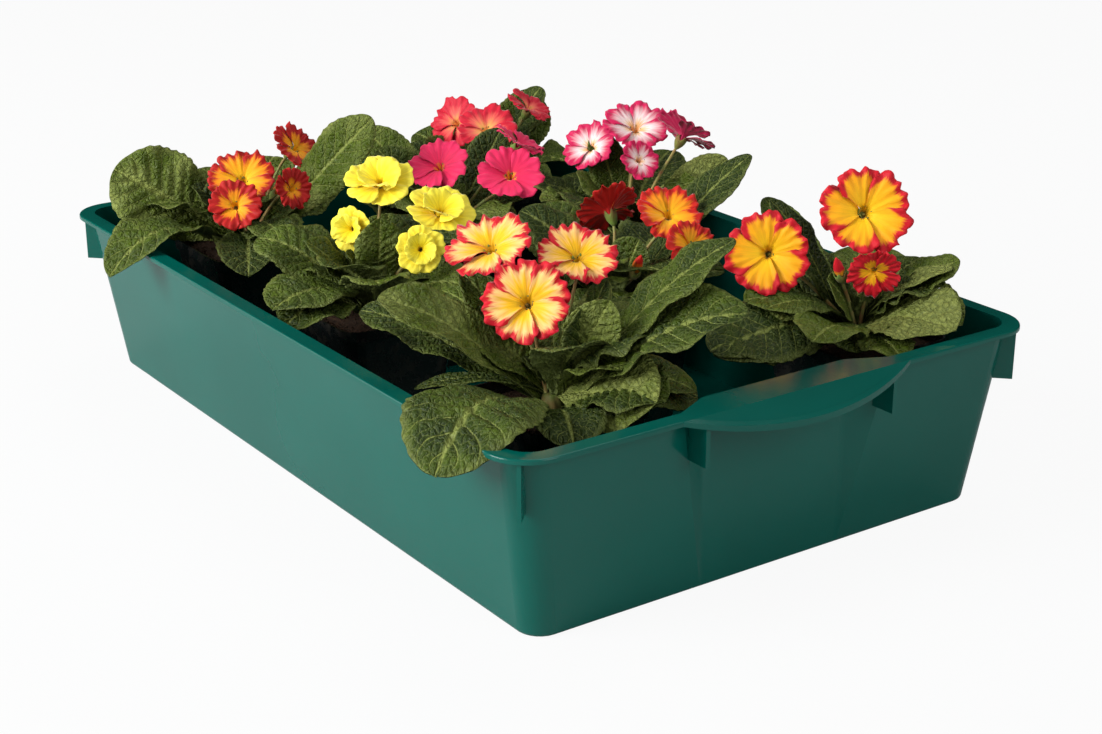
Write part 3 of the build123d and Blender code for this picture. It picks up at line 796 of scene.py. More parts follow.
@dataclass
class LeafBlade:
    """One primrose leaf as a closed thin shell with veins, puckers, a waved edge and a thick midrib."""

    lie: BladeFrame
    seed: int
    tone: float | None = None
    rows: int = 58
    columns: int = 27
    petiole_share: float = 0.07
    outline_power: float = 1.8
    outline_roundness: float = 0.62
    breadth: float = 1.18
    fold: float = 0.22
    teeth: int = 17
    tooth_depth: float = 0.022
    wave_depth: float = 0.15
    side_veins: float = 11.0
    vein_slant: float = 0.17
    vein_depth: float = 0.9 * MM
    pucker_height: float = 2.2 * MM
    cell_size: float = 6.5 * MM
    skin: float = 0.45 * MM
    midrib: float = 1.7 * MM

    def shell(self) -> Shell:
        """Builds the leaf in its place."""
        chance = np.random.default_rng(self.seed)
        lie = self.lie
        start = np.linspace(0, 1, self.rows)
        along, across = np.meshgrid(1 - (1 - start) ** 1.25, np.linspace(-1, 1, self.columns), indexing="ij")
        side = np.abs(across)
        outline = np.sin(np.pi * np.clip(along, 0, 1) ** self.outline_power) ** self.outline_roundness
        outline = self.petiole_share + (1 - self.petiole_share) * np.nan_to_num(outline)
        tooth = 1 + self.tooth_depth * np.cos(2 * np.pi * self.teeth * along + chance.uniform(0, 6)) * side ** 6
        x = across * outline * lie.half_width * self.breadth * tooth
        y = along * lie.length
        size = np.clip(lie.half_width / (25 * MM), 0.4, 1.3)
        z = np.polyval(lie.rise, along)
        z += self.fold * lie.half_width * outline * side ** 1.4
        z -= chance.uniform(-0.05, 0.24) * lie.half_width * outline * side ** 5
        waves = chance.uniform(2.2, 3.6)
        phase = np.where(across > 0, chance.uniform(0, 6), chance.uniform(0, 6))
        z += self.wave_depth * lie.half_width * outline * np.sin(2 * np.pi * waves * along + phase) * side ** 2.2
        swept = (along - self.vein_slant * side) * self.side_veins + np.where(across > 0, 0.5, 0.0)
        turn = swept - np.floor(swept) - 0.5
        vein = np.exp(-((turn / 0.13) ** 2)) * (1 - 0.6 * side)
        inner = outline * (1 - side ** 6) * size
        z += self.pucker_height * 0.8 * inner * (np.abs(np.sin(np.pi * turn)) - 0.4)
        z += self.pucker_height * inner * cell_puckers(x, y, self.cell_size * size, self.seed) * 0.5
        z -= self.vein_depth * inner * vein
        rib = np.exp(-((x / (1.5 * MM * (0.5 + 0.5 * size))) ** 2))
        z -= self.vein_depth * size * rib * (1 - 0.6 * along)
        thick = self.skin + self.midrib * size * (1 - 0.8 * along) * rib + 0.3 * MM * vein * size
        x = x + chance.uniform(-0.06, 0.06) * lie.length * along ** 2
        top = self.placed(x, y, z)
        bottom = self.placed(x, y, z - thick)
        points, faces = wall_between(top, bottom)
        tone = chance.uniform(-0.35, 0.4) if self.tone is None else self.tone
        blade = np.stack([along, across, np.full(x.shape, tone)], -1).reshape(-1, 3)
        flat = np.stack([x * 10, y * 10 + self.seed % 7], -1).reshape(-1, 2)
        fields = {
            "blade": np.concatenate([blade, blade]),
            "UVMap": np.concatenate([flat, flat]),
            "under": np.repeat([0.0, 1.0], x.size),
        }
        return Shell(points, faces, fields)

    def placed(self, x: np.ndarray, y: np.ndarray, z: np.ndarray) -> np.ndarray:
        """Turns places in the leaf's own frame into places in the tray's frame."""
        lie = self.lie
        return lie.root + x[..., None] * lie.across + y[..., None] * lie.heading + z[..., None] * lie.up


@dataclass
class FlowerFrame:
    """How one flower sits: its foot, the way that it faces and its radius."""

    foot: np.ndarray
    facing: np.ndarray
    radius: float

    @classmethod
    def of_solid(cls, corners: np.ndarray) -> "FlowerFrame":
        """Reads a flower's frame from its plain cup-shaped solid."""
        middle = corners.mean(0)
        facing = np.linalg.svd(corners - middle)[2][2]
        reach = np.linalg.norm(corners - middle - np.outer((corners - middle) @ facing, facing), axis=1)
        order = np.argsort(reach)
        count = len(corners) // 4
        throat, rim = corners[order[:count]], corners[order[-count:]]
        if (rim.mean(0) - throat.mean(0)) @ facing < 0:
            facing = -facing
        heights = (throat - middle) @ facing
        foot = throat[heights < heights.min() + 0.2 * MM].mean(0)
        return cls(foot, facing, float(reach.max()))

    def basis(self, spin: float, tilt: float) -> Matrix:
        """Returns the turn of one petal: spun about the flower's axis and tilted up or down."""
        turn = Vector(self.facing).to_track_quat("Z", "Y").to_matrix()
        return turn @ Matrix.Rotation(spin, 3, "Z") @ Matrix.Rotation(tilt, 3, "Y")


class PetalCut(Enum):
    """How the outer edge of a petal is cut."""

    ROUND = "round"
    NOTCHED = "notched"
    FRILLED = "frilled"


@dataclass(frozen=True)
class PetalPattern:
    """One petal of unit reach, as a closed thin shell that points along +X and faces +Z."""

    cut: PetalCut
    rows: int = 15
    columns: int = 33
    throat: float = 0.06
    throat_depth: float = 0.2
    base_spread: float = 0.64
    tip_spread: float = 0.8
    cup: float = 0.34
    thickness: float = 0.014

    def build(self, material: bpy.types.Material) -> bpy.types.Object:
        """Makes the petal as an object that is copied onto the flowers."""
        notch = {PetalCut.ROUND: 0.04, PetalCut.NOTCHED: 0.13, PetalCut.FRILLED: 0.11}[self.cut]
        frill = {PetalCut.ROUND: 0.0, PetalCut.NOTCHED: 0.012, PetalCut.FRILLED: 0.035}[self.cut]
        out, across = np.meshgrid(
            np.linspace(0, 1, self.rows) ** 1.15, np.linspace(-1, 1, self.columns), indexing="ij"
        )
        side = np.abs(across)
        edge = 1 - notch * np.exp(-((across / 0.13) ** 2)) - 0.34 * side ** 4
        uneven = across + 0.09 * np.sin(6.3 * across + 0.8)
        edge += frill * (1.5 * np.abs(np.sin(2.6 * uneven * np.pi + 0.5)) * (1 + 0.4 * np.sin(4 * across)) - 1.0)
        reach = self.throat + (edge - self.throat) * out
        spread = self.base_spread + (self.tip_spread - self.base_spread) * out ** 0.6
        turn = across * spread
        x, y = reach * np.cos(turn), reach * np.sin(turn)
        z = self.cup * out ** 0.85 - 0.1 * out ** 3 - self.throat_depth * np.exp(-((out / 0.07) ** 2))
        z += -0.1 * side ** 2 * out + 0.07 * across * np.sqrt(out)
        z -= 0.06 * np.exp(-((across / 0.14) ** 2)) * out * (1.2 - out)
        z += (0.02 + frill) * out ** 3 * np.sin(5.2 * across * np.pi)
        slim = self.thickness * (1.2 - 0.6 * out)
        points, faces = wall_between(np.stack([y, -x, z], -1), np.stack([y, -x, z - slim], -1))
        points = np.stack([-points[:, 1], points[:, 0], points[:, 2]], -1)
        place = np.stack([out, across, np.zeros(out.shape)], -1).reshape(-1, 3)
        fields = {"petal": np.concatenate([place, place]), "under": np.repeat([0.0, 1.0], out.size)}
        return mesh_object(f"petal_pattern_{self.cut.value}", [Shell(points, faces, fields)], material)


def calyx_pattern(material: bpy.types.Material) -> bpy.types.Object:
    """Makes a ribbed calyx of unit length that stands on its foot along +Z, with five pointed teeth."""
    turns = np.linspace(0, 2 * np.pi, 30, endpoint=False)
    ribs = np.cos(5 * turns)
    tooth = 0.34 * (0.5 + 0.5 * ribs) ** 1.5
    rings = []
    for share in (0.0, 0.12, 0.3, 0.5, 0.7, 0.85, 1.0):
        height = share * (0.74 + tooth)
        radius = (0.13 + 0.24 * np.sin(min(share * 1.25, 1.0) * np.pi / 2)) * (1 + 0.09 * ribs) - 0.03 * share * ribs
        rings.append(np.stack([radius * np.cos(turns), radius * np.sin(turns), height], -1))
    inner = [ring * np.array([0.86, 0.86, 1.0]) - np.array([0, 0, 0.03]) for ring in rings[:2:-1]]
    points, faces = tube_of(rings + inner)
    return mesh_object("calyx_pattern", [Shell(points, faces)], material)


def bud_pattern(material: bpy.types.Material) -> bpy.types.Object:
    """Makes a furled bud of unit length along +Z, its five petals rolled round each other."""
    turns = np.linspace(0, 2 * np.pi, 40, endpoint=False)
    rings = []
    for share in np.linspace(0, 1, 14):
        furl = np.mod(5 * turns / (2 * np.pi) + 1.4 * share, 1.0)
        radius = (0.16 + 0.2 * math.sin(share ** 0.8 * math.pi) ** 0.9 - 0.12 * share) * (0.86 + 0.2 * furl)
        rings.append(np.stack([radius * np.cos(turns), radius * np.sin(turns), np.full(turns.shape, share)], -1))
    points, faces = tube_of(rings)
    out = np.clip(points[:, 2] * 0.5 + 0.5, 0, 1)
    place = np.stack([out, np.zeros(len(points)), np.zeros(len(points))], -1)
    fields = {"petal": place, "under": np.zeros(len(points)), "tone": np.full(len(points), 0.4)}
    return mesh_object("bud_pattern", [Shell(points, faces, fields)], material)


@dataclass
class NodeRule:
    """A Geometry Nodes tree with named inputs, applied to one object at a time."""

    name: str
    tree: bpy.types.NodeTree = field(init=False)
    entry: bpy.types.Node = field(init=False)

    def __post_init__(self) -> None:
        """Makes the empty tree with its geometry input and output."""
        self.tree = bpy.data.node_groups.new(self.name, "GeometryNodeTree")
        self.tree.interface.new_socket("Geometry", in_out="INPUT", socket_type="NodeSocketGeometry")
        self.tree.interface.new_socket("Geometry", in_out="OUTPUT", socket_type="NodeSocketGeometry")
        self.entry = self.tree.nodes.new("NodeGroupInput")

    def named_input(self, name: str, kind: str, default: float | int | None = None) -> None:
        """Adds a named input to the tree.

        Args:
            name: The input's name.
            kind: Float, Int, Object or Material.
            default: The value it has if none is given.
        """
        socket = self.tree.interface.new_socket(name, in_out="INPUT", socket_type=f"NodeSocket{kind}")
        if default is not None:
            socket.default_value = default

    def close(self, geometry: bpy.types.NodeSocket) -> None:
        """Ends the tree: instances are realized and the material is set."""
        real = add_node(self.tree, "GeometryNodeRealizeInstances", {"Geometry": geometry})
        smooth = add_node(self.tree, "GeometryNodeSetShadeSmooth", {"Geometry": real.outputs[0]})
        done = add_node(
            self.tree, "GeometryNodeSetMaterial",
            {"Geometry": smooth.outputs[0], "Material": self.entry.outputs["Material"]},
        )
        add_node(self.tree, "NodeGroupOutput", {"Geometry": done.outputs[0]})

    def apply(self, base: bpy.types.Object, name: str, **values) -> bpy.types.Object:
        """Runs the tree on an object and turns the result into a plain mesh object.

        Args:
            base: The object that the tree starts from. It is removed.
            name: The new object's name.
            values: Input names, with underscores for spaces, and their values.

        Returns:
            The new object, linked to the scene, at the origin.
        """
        rule = base.modifiers.new(self.name, "NODES")
        rule.node_group = self.tree
        sockets = {item.name: item.identifier for item in self.tree.interface.items_tree if item.in_out == "INPUT"}
        for key, value in values.items():
            rule[sockets[key.replace("_", " ")]] = value
        evaluated = base.evaluated_get(bpy.context.evaluated_depsgraph_get())
        mesh = bpy.data.meshes.new_from_object(evaluated)
        mesh.name = name
        base.modifiers.remove(rule)
        bpy.data.objects.remove(base)
        made = bpy.data.objects.new(name, mesh)
        bpy.context.scene.collection.objects.link(made)
        if not mesh.materials:
            mesh.materials.append(values["Material"])
        return made


def set_out_rule() -> NodeRule:
    """Makes the rule that copies a pattern onto points, by their turn and size, and ruffles its free edge."""
    rule = NodeRule("set_out_copies")
    rule.named_input("Pattern", "Object")
    rule.named_input("Ruffle", "Float", 0.0)
    rule.named_input("Ruffle Size", "Float", 6 * MM)
    rule.named_input("Material", "Material")
    tree = rule.tree
    pattern = add_node(tree, "GeometryNodeObjectInfo", {"Object": rule.entry.outputs["Pattern"]})
    turn = add_node(tree, "GeometryNodeInputNamedAttribute", {"Name": "turn"}, data_type="FLOAT_VECTOR")
    size = add_node(tree, "GeometryNodeInputNamedAttribute", {"Name": "size"}, data_type="FLOAT_VECTOR")
    rotation = add_node(tree, "FunctionNodeEulerToRotation", {"Euler": turn.outputs["Attribute"]})
    copies = add_node(
        tree, "GeometryNodeInstanceOnPoints",
        {
            "Points": rule.entry.outputs["Geometry"],
            "Instance": pattern.outputs["Geometry"],
            "Rotation": rotation.outputs["Rotation"],
            "Scale": size.outputs["Attribute"],
        },
    )
    real = add_node(tree, "GeometryNodeRealizeInstances", {"Geometry": copies.outputs["Instances"]})
    place = add_node(tree, "GeometryNodeInputPosition").outputs["Position"]
    per_metre = add_node(
        tree, "ShaderNodeMath", {0: 1.0, 1: rule.entry.outputs["Ruffle Size"]}, operation="DIVIDE"
    ).outputs[0]
    noise = add_node(tree, "ShaderNodeTexNoise", {"Vector": place, "Scale": per_metre, "Detail": 1.0})
    centred = add_node(
        tree, "ShaderNodeVectorMath", {0: noise.outputs["Color"], 1: (0.5, 0.5, 0.5)}, operation="SUBTRACT"
    )
    petal = add_node(tree, "GeometryNodeInputNamedAttribute", {"Name": "petal"}, data_type="FLOAT_VECTOR")
    out = add_node(tree, "ShaderNodeSeparateXYZ", {"Vector": petal.outputs["Attribute"]}).outputs["X"]
    free = add_node(tree, "ShaderNodeMath", {0: out, 1: 2.0}, operation="POWER").outputs[0]
    amount = add_node(tree, "ShaderNodeMath", {0: free, 1: rule.entry.outputs["Ruffle"]}, operation="MULTIPLY").outputs[0]
    push = add_node(
        tree, "ShaderNodeVectorMath", {0: centred.outputs["Vector"], "Scale": amount}, operation="SCALE"
    )
    ruffled = add_node(
        tree, "GeometryNodeSetPosition", {"Geometry": real.outputs[0], "Offset": push.outputs["Vector"]}
    )
    rule.close(ruffled.outputs[0])
    return rule


def downy_stem_rule() -> NodeRule:
    """Makes the rule that turns curves into round stalks with short hairs that stand out of them."""
    rule = NodeRule("downy_stems")
    rule.named_input("Stalk Radius", "Float", 1.2 * MM)
    rule.named_input("Hair Length", "Float", 0.9 * MM)
    rule.named_input("Hairs Per Area", "Float", 1.5e5)
    rule.named_input("Material", "Material")
    tree, entry = rule.tree, rule.entry
    even = add_node(tree, "GeometryNodeResampleCurve", {"Curve": entry.outputs["Geometry"], "Count": 18})
    ring = add_node(tree, "GeometryNodeCurvePrimitiveCircle", {"Resolution": 9, "Radius": entry.outputs["Stalk Radius"]})
    along = add_node(tree, "GeometryNodeSplineParameter").outputs["Factor"]
    taper = add_node(
        tree, "ShaderNodeMapRange", {"Value": along, "To Min": 1.15, "To Max": 0.85}
    ).outputs["Result"]
    stalk = add_node(
        tree, "GeometryNodeCurveToMesh",
        {"Curve": even.outputs[0], "Profile Curve": ring.outputs["Curve"], "Scale": taper, "Fill Caps": True},
    ).outputs["Mesh"]
    spots = add_node(
        tree, "GeometryNodeDistributePointsOnFaces",
        {"Mesh": stalk, "Density": entry.outputs["Hairs Per Area"], "Seed": 4},
    )
    hair = add_node(
        tree, "GeometryNodeMeshCone",
        {"Vertices": 3, "Radius Top": 0.01 * MM, "Radius Bottom": 0.07 * MM, "Depth": entry.outputs["Hair Length"]},
        fill_type="NONE",
    )
    hairs = add_node(
        tree, "GeometryNodeInstanceOnPoints",
        {"Points": spots.outputs["Points"], "Instance": hair.outputs["Mesh"], "Rotation": spots.outputs["Rotation"]},
    )
    both = add_node(tree, "GeometryNodeJoinGeometry", {"Geometry": stalk})
    tree.links.new(hairs.outputs["Instances"], both.inputs["Geometry"])
    rule.close(both.outputs["Geometry"])
    return rule


def crumb_rule() -> NodeRule:
    """Makes the rule that strews crumbs of compost over the upward faces of a block of soil."""
    rule = NodeRule("strewn_crumbs")
    rule.named_input("Crumb Radius", "Float", 1.3 * MM)
    rule.named_input("Crumbs Per Area", "Float", 6.5e4)
    rule.named_input("Seed", "Int", 1)
    rule.named_input("Material", "Material")
    tree, entry = rule.tree, rule.entry
    normal = add_node(tree, "GeometryNodeInputNormal").outputs["Normal"]
    upward = add_node(tree, "ShaderNodeSeparateXYZ", {"Vector": normal}).outputs["Z"]
    chosen = add_node(tree, "ShaderNodeMath", {0: upward, 1: 0.6}, operation="GREATER_THAN").outputs[0]
    spots = add_node(
        tree, "GeometryNodeDistributePointsOnFaces",
        {
            "Mesh": entry.outputs["Geometry"],
            "Selection": chosen,
            "Density": entry.outputs["Crumbs Per Area"],
            "Seed": entry.outputs["Seed"],
        },
    )
    crumb = add_node(tree, "GeometryNodeMeshIcoSphere", {"Radius": entry.outputs["Crumb Radius"], "Subdivisions": 1})
    spin = add_node(
        tree, "FunctionNodeRandomValue", {0: (0.0, 0.0, 0.0), 1: (6.28, 6.28, 6.28), "Seed": 2},
        data_type="FLOAT_VECTOR",
    )
    size = add_node(
        tree, "FunctionNodeRandomValue", {0: (0.25, 0.25, 0.2), 1: (1.2, 1.0, 0.8), "Seed": 3},
        data_type="FLOAT_VECTOR",
    )
    crumbs = add_node(
        tree, "GeometryNodeInstanceOnPoints",
        {
            "Points": spots.outputs["Points"],
            "Instance": crumb.outputs["Mesh"],
            "Rotation": spin.outputs[0],
            "Scale": size.outputs[0],
        },
    )
    both = add_node(tree, "GeometryNodeJoinGeometry", {"Geometry": entry.outputs["Geometry"]})
    tree.links.new(crumbs.outputs["Instances"], both.inputs["Geometry"])
    rule.close(both.outputs["Geometry"])
    return rule


class Rules:
    """The three node rules, built once."""

    def __init__(self) -> None:
        """Builds the trees."""
        self.set_out = set_out_rule()
        self.downy_stem = downy_stem_rule()
        self.crumbs = crumb_rule()


def points_object(name: str, places: list, turns: list, sizes: list, tones: list) -> bpy.types.Object:
    """Makes a mesh of loose points that say where copies go.

    Args:
        name: The object's name.
        places: Where each copy goes.
        turns: Euler angles of each copy.
        sizes: Scale of each copy along its three axes.
        tones: A number from 0 to 1 for each copy, for its colour.

    Returns:
        The object, linked to the scene.
    """
    mesh = bpy.data.meshes.new(name)
    mesh.from_pydata([tuple(place) for place in places], [], [])
    for key, values in (("turn", turns), ("size", sizes)):
        mesh.attributes.new(key, "FLOAT_VECTOR", "POINT").data.foreach_set("vector", np.array(values).ravel())
    mesh.attributes.new("tone", "FLOAT", "POINT").data.foreach_set("value", np.array(tones, float))
    made = bpy.data.objects.new(name, mesh)
    bpy.context.scene.collection.objects.link(made)
    return made


# A leaf that would meet its plant's own flower: its swing in degrees, the share of its arch kept, and how far it turns.
SWINGS = {(1, 5): (16.0, 0.2, 0.7)}

# Flowers that nod: how far each turns to the front right corner, or away from it, by plant and place
NODS = {(1, 0): 0.55, (5, 0): -0.6, (4, 3): -0.55}


@dataclass(frozen=True)
class PrimroseKind:
    """What sets one plant's flowers apart from its neighbours'."""

    petal: VelvetPetal
    cut: PetalCut
    rings: int = 1
    petals: int = 5
    ruffle: float = 5.0


ORANGE_FRILL = VelvetPetal("orange_red", "C08E10", "FBC40A", "FA9208", "B00E08", "A6120A", 0.14, 0.7, 0.86, 0.28, 0.42)
LEMON = VelvetPetal("lemon", "E4B00C", "FBDC0C", "FCE628", "FDEC48", "F0D420", 0.2, 0.6, 0.95, 0.1, 0.1)
PINK = VelvetPetal("pink", "F6B818", "F09830", "E41E50", "E8285E", "C82054", 0.12, 0.2, 0.9, 0.1)
WHITE_PINK = VelvetPetal("white_pink", "F08A10", "FBC890", "FCE6E4", "CC1252", "A81444", 0.2, 0.42, 0.9, 0.3, 0.1)
ORANGE = VelvetPetal("orange", "D89A10", "FCBC0A", "FA8C08", "C2160C", "BE160E", 0.18, 0.7, 0.86, 0.28, 0.16)
CREAM_RED = VelvetPetal("cream_red", "D8A80C", "FCBE08", "FCC47C", "CE0E24", "C8183C", 0.4, 0.78, 0.9, 0.34, 0.1)
GOLDEN = VelvetPetal("golden_red", "C89C0C", "FDC60A", "FCA808", "CC0E22", "B80C1C", 0.16, 0.78, 0.88, 0.2, 0.5)
CRIMSON = VelvetPetal("crimson", "F0B828", "F8B860", "EE6458", "C8122E", "B80F34", 0.2, 0.56, 0.84, 0.26, 0.5)

KINDS = {
    1: PrimroseKind(ORANGE_FRILL, PetalCut.FRILLED),
    2: PrimroseKind(LEMON, PetalCut.ROUND, rings=2, ruffle=4.0),
    3: PrimroseKind(PINK, PetalCut.NOTCHED),
    4: PrimroseKind(WHITE_PINK, PetalCut.NOTCHED),
    5: PrimroseKind(ORANGE, PetalCut.FRILLED),
    6: PrimroseKind(CREAM_RED, PetalCut.FRILLED),
    7: PrimroseKind(GOLDEN, PetalCut.FRILLED),
    8: PrimroseKind(CRIMSON, PetalCut.NOTCHED),
}


def settle(piece: bpy.types.Object, body: str, slot: str, *nodes: str) -> None:
    """Ties a piece to its body and hides the plain nodes that it stands for.

    Args:
        piece: The finished object.
        body: The body that it moves with.
        slot: The record's material slot; not used.
        nodes: The nodes that it stands for.
    """
    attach(piece, body)
    if nodes:
        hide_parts(*nodes)
    log.info("%s rides on %s, %d faces", piece.name, body, len(piece.data.polygons))


@dataclass
class Finishes:
    """Every material of the planted tray."""

    tray: bpy.types.Material = field(default_factory=lambda: MouldedPolypropylene().make())
    pot: bpy.types.Material = field(default_factory=lambda: ThermoformedPolystyrene().make())
    peat: bpy.types.Material = field(default_factory=lambda: MoistPeat().make())
    leaf: bpy.types.Material = field(default_factory=lambda: PrimroseBlade().make())
    stalk: bpy.types.Material = field(default_factory=lambda: DownyStem("stalk", "8B9A55", "A8714C").make())
    calyx: bpy.types.Material = field(default_factory=lambda: DownyStem("calyx", "6F8A3A", "7D5A34").make())
    crown: bpy.types.Material = field(default_factory=lambda: DownyStem("crown", "56642A", "6A5A30").make())


@dataclass
class PottedPrimrose:
    """One potted plant: its pot, soil, crown, leaves, stalks, calyxes, flowers and buds."""

    number: int
    finishes: Finishes
    rules: Rules
    petal_material: bpy.types.Material
    patterns: dict[str, bpy.types.Object]
    young_leaves: int = 7
    filling_leaves: int = 9
    calyx_length: float = 11 * MM
    calyx_sink: float = 10 * MM
    stalk_radius: float = 1.2 * MM
    bud_length: float = 14 * MM

    @property
    def body(self) -> str:
        """Name of the body that the whole plant moves with."""
        return f"plant_{self.number}"

    @property
    def crown_top(self) -> np.ndarray:
        """The middle of the crown's top."""
        low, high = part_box(f"crown_{self.number}")
        return np.array([(low.x + high.x) / 2, (low.y + high.y) / 2, high.z])

    def build(self) -> None:
        """Builds and dresses every piece of the plant."""
        self.dress_pot()
        self.build_soil()
        self.build_crown()
        self.build_leaves()
        self.build_stalks()
        self.build_flowers()
        self.build_buds()

    def dress_pot(self) -> None:
        """Gives the CAD pot its black plastic."""
        pot = frame["nodes"][f"pot_{self.number}"]
        pot.data.materials.clear()
        pot.data.materials.append(self.finishes.pot)

    def build_soil(self) -> None:
        """Fills the pot with compost: an uneven top strewn with crumbs."""
        node = f"potting_soil_{self.number}"
        corners = solids_of(node)[0]
        middle = corners.mean(0)
        rings = []
        levels = (corners[:, 2].min(), corners[:, 2].max())
        outlines = []
        for level in levels:
            ring = corners[np.abs(corners[:, 2] - level) < 0.1 * MM]
            order = np.argsort(np.arctan2(ring[:, 1] - middle[1], ring[:, 0] - middle[0]))
            outlines.append(ring[order])
        rings = [outlines[0], outlines[1]]
        chance = np.random.default_rng(self.number)
        for share in (0.9, 0.78, 0.64, 0.5, 0.36, 0.22, 0.08):
            ring = outlines[1] * share + np.append(middle[:2], levels[1]) * (1 - share)
            ring[:, 2] += chance.uniform(-1.6, 0.6, len(ring)) * MM
            rings.append(ring)
        points, faces = tube_of(rings)
        block = mesh_object(f"{node}_block", [Shell(points, faces)], self.finishes.peat)
        soil = self.rules.crumbs.apply(
            block, f"compost_{self.number}", Crumb_Radius=1.3 * MM, Crumbs_Per_Area=6.5e4, Seed=self.number,
            Material=self.finishes.peat,
        )
        settle(soil, self.body, "potting_soil", node)

    def build_crown(self) -> None:
        """Builds the crown: a short stock wrapped in the fleshy feet of old leaves."""
        node = f"crown_{self.number}"
        low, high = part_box(node)
        middle = self.crown_top
        turns = np.linspace(0, 2 * np.pi, 48, endpoint=False)
        rings = []
        for share in np.linspace(0, 1, 12):
            lobes = 1 + 0.1 * np.abs(np.sin(4.5 * turns + 2.5 * share + self.number)) - 0.05
            bulge = 1 - 0.32 * share ** 3
            radius = (high.x - low.x) / 2 * 0.94 * bulge * lobes
            height = low.z + (high.z - low.z) * share
            rings.append(
                np.stack(
                    [middle[0] + radius * np.cos(turns), middle[1] + radius * np.sin(turns), np.full(turns.shape, height)],
                    -1,
                )
            )
        points, faces = tube_of(rings)
        crown = mesh_object(f"leaf_feet_{self.number}", [Shell(points, faces)], self.finishes.crown)
        settle(crown, self.body, "crown", node)

    def build_leaves(self) -> None:
        """Builds the full leaves, the young ones in the middle, and the one over the rim."""
        node = f"leaves_{self.number}"
        chance = np.random.default_rng(100 + self.number)
        shells = []
        for index, corners in enumerate(solids_of(node)):
            lie = BladeFrame.of_solid(corners, self.crown_top)
            angle, arch_kept, turned = SWINGS.get((self.number, index), (0.0, 1.0, 0.3))
            lie.swing(math.radians(angle), arch_kept)
            lie.turn(turned)
            shells.append(LeafBlade(lie, seed=self.number * 100 + index).shell())
        for index in range(self.young_leaves):
            lie = BladeFrame.young(
                self.crown_top,
                azimuth=2 * math.pi * index / self.young_leaves + chance.uniform(-0.3, 0.3),
                elevation=math.radians(chance.uniform(52, 78)),
                length=chance.uniform(20, 38) * MM,
            )
            shells.append(LeafBlade(lie, seed=self.number * 100 + 50 + index, rows=26, columns=13).shell())
        for index in range(self.filling_leaves):
            lie = BladeFrame.young(
                self.crown_top,
                azimuth=2 * math.pi * (index + 0.5) / self.filling_leaves + chance.uniform(-0.25, 0.25),
                elevation=math.radians(chance.uniform(16, 48)),
                length=chance.uniform(56, 84) * MM,
            )
            lie.half_width = lie.length * chance.uniform(0.27, 0.36)
            if self.meets_bloom(lie):
                continue
            shells.append(LeafBlade(lie, seed=self.number * 100 + 70 + index, rows=40, columns=19).shell())
        for index, leaf in enumerate(AIMED_LEAVES[self.number]):
            lie = leaf.frame(self.crown_top)
            blade = LeafBlade(
                lie, seed=self.number * 100 + 30 + index, tone=leaf.tone, wave_depth=0.07, rows=48, columns=25
            )
            shells.append(blade.shell())
        leaves = mesh_object(f"leaf_rosette_{self.number}", shells, self.finishes.leaf)
        settle(leaves, self.body, "leaf", node)
        over_rim = f"overhanging_leaf_{self.number}"
        if over_rim in frame["nodes"]:
            lie = BladeFrame.of_solid(solids_of(over_rim)[0], self.crown_top)
            blade = LeafBlade(lie, seed=self.number * 100 + 90, rows=78, columns=39, wave_depth=0.08)
            leaf = mesh_object(f"rim_leaf_{self.number}", [blade.shell()], self.finishes.leaf)
            settle(leaf, self.body, "leaf", over_rim)

    def meets_bloom(self, lie: BladeFrame) -> bool:
        """Tells whether a leaf's middle line would pass through a flower."""
        shares = np.linspace(0.3, 1, 12)
        line = lie.root + np.outer(shares * lie.length, lie.heading) + np.outer(np.polyval(lie.rise, shares), lie.up)
        for corners in solids_of(f"blooms_{self.number}"):
            middle = corners.mean(0)
            reach = np.linalg.norm(corners - middle, axis=1).max() + lie.half_width * 0.6
            if np.linalg.norm(line - middle, axis=1).min() < reach:
                return True
        return False

    def stalk_lines(self) -> list[np.ndarray]:
        """Reads each stalk's middle line from its solid: the middles of its sections, from root to head."""
        lines = []
        for corners in solids_of(f"flower_stalks_{self.number}"):
            left = corners[np.argsort(corners[:, 2])]
            line = [left[:5].mean(0)]
            left = left[5:]
            while len(left) >= 5:
                order = np.argsort(np.linalg.norm(left - line[-1], axis=1))
                line.append(left[order[:5]].mean(0))
                left = left[order[5:]]
            lines.append(np.array(line))
        return lines

    def build_stalks(self) -> None:
        """Builds the stalks with their hairs, and a ribbed calyx at the head of each."""
        node = f"flower_stalks_{self.number}"
        curve = bpy.data.curves.new(f"{node}_lines", "CURVE")
        curve.dimensions = "3D"
        places, turns, sizes = [], [], []
        for line in self.stalk_lines():
            spline = curve.splines.new("NURBS")
            route = [line[0], *line[1:-1], line[-2] + (line[-1] - line[-2]) * 0.6]
            spline.points.add(len(route) - 1)
            for point, place in zip(spline.points, route):
                point.co = (*place, 1.0)
            spline.order_u = 3
            spline.use_endpoint_u = True
            facing = unit(line[-1] - line[-2])
            places.append(line[-1] - facing * self.calyx_sink)
            turns.append(tuple(Vector(facing).to_track_quat("Z", "Y").to_euler()))
            sizes.append((self.calyx_length * 1.05, self.calyx_length * 1.05, self.calyx_length))
        lines = bpy.data.objects.new(f"{node}_lines", curve)
        bpy.context.scene.collection.objects.link(lines)
        stalks = self.rules.downy_stem.apply(
            lines, f"downy_stalks_{self.number}", Stalk_Radius=self.stalk_radius, Hair_Length=0.9 * MM,
            Hairs_Per_Area=1.5e5, Material=self.finishes.stalk,
        )
        settle(stalks, self.body, "stalk", node)
        base = points_object(f"calyx_places_{self.number}", places, turns, sizes, [0.5] * len(places))
        calyxes = self.rules.set_out.apply(
            base, f"calyxes_{self.number}", Pattern=self.patterns["calyx"], Material=self.finishes.calyx
        )
        settle(calyxes, self.body, "stalk")

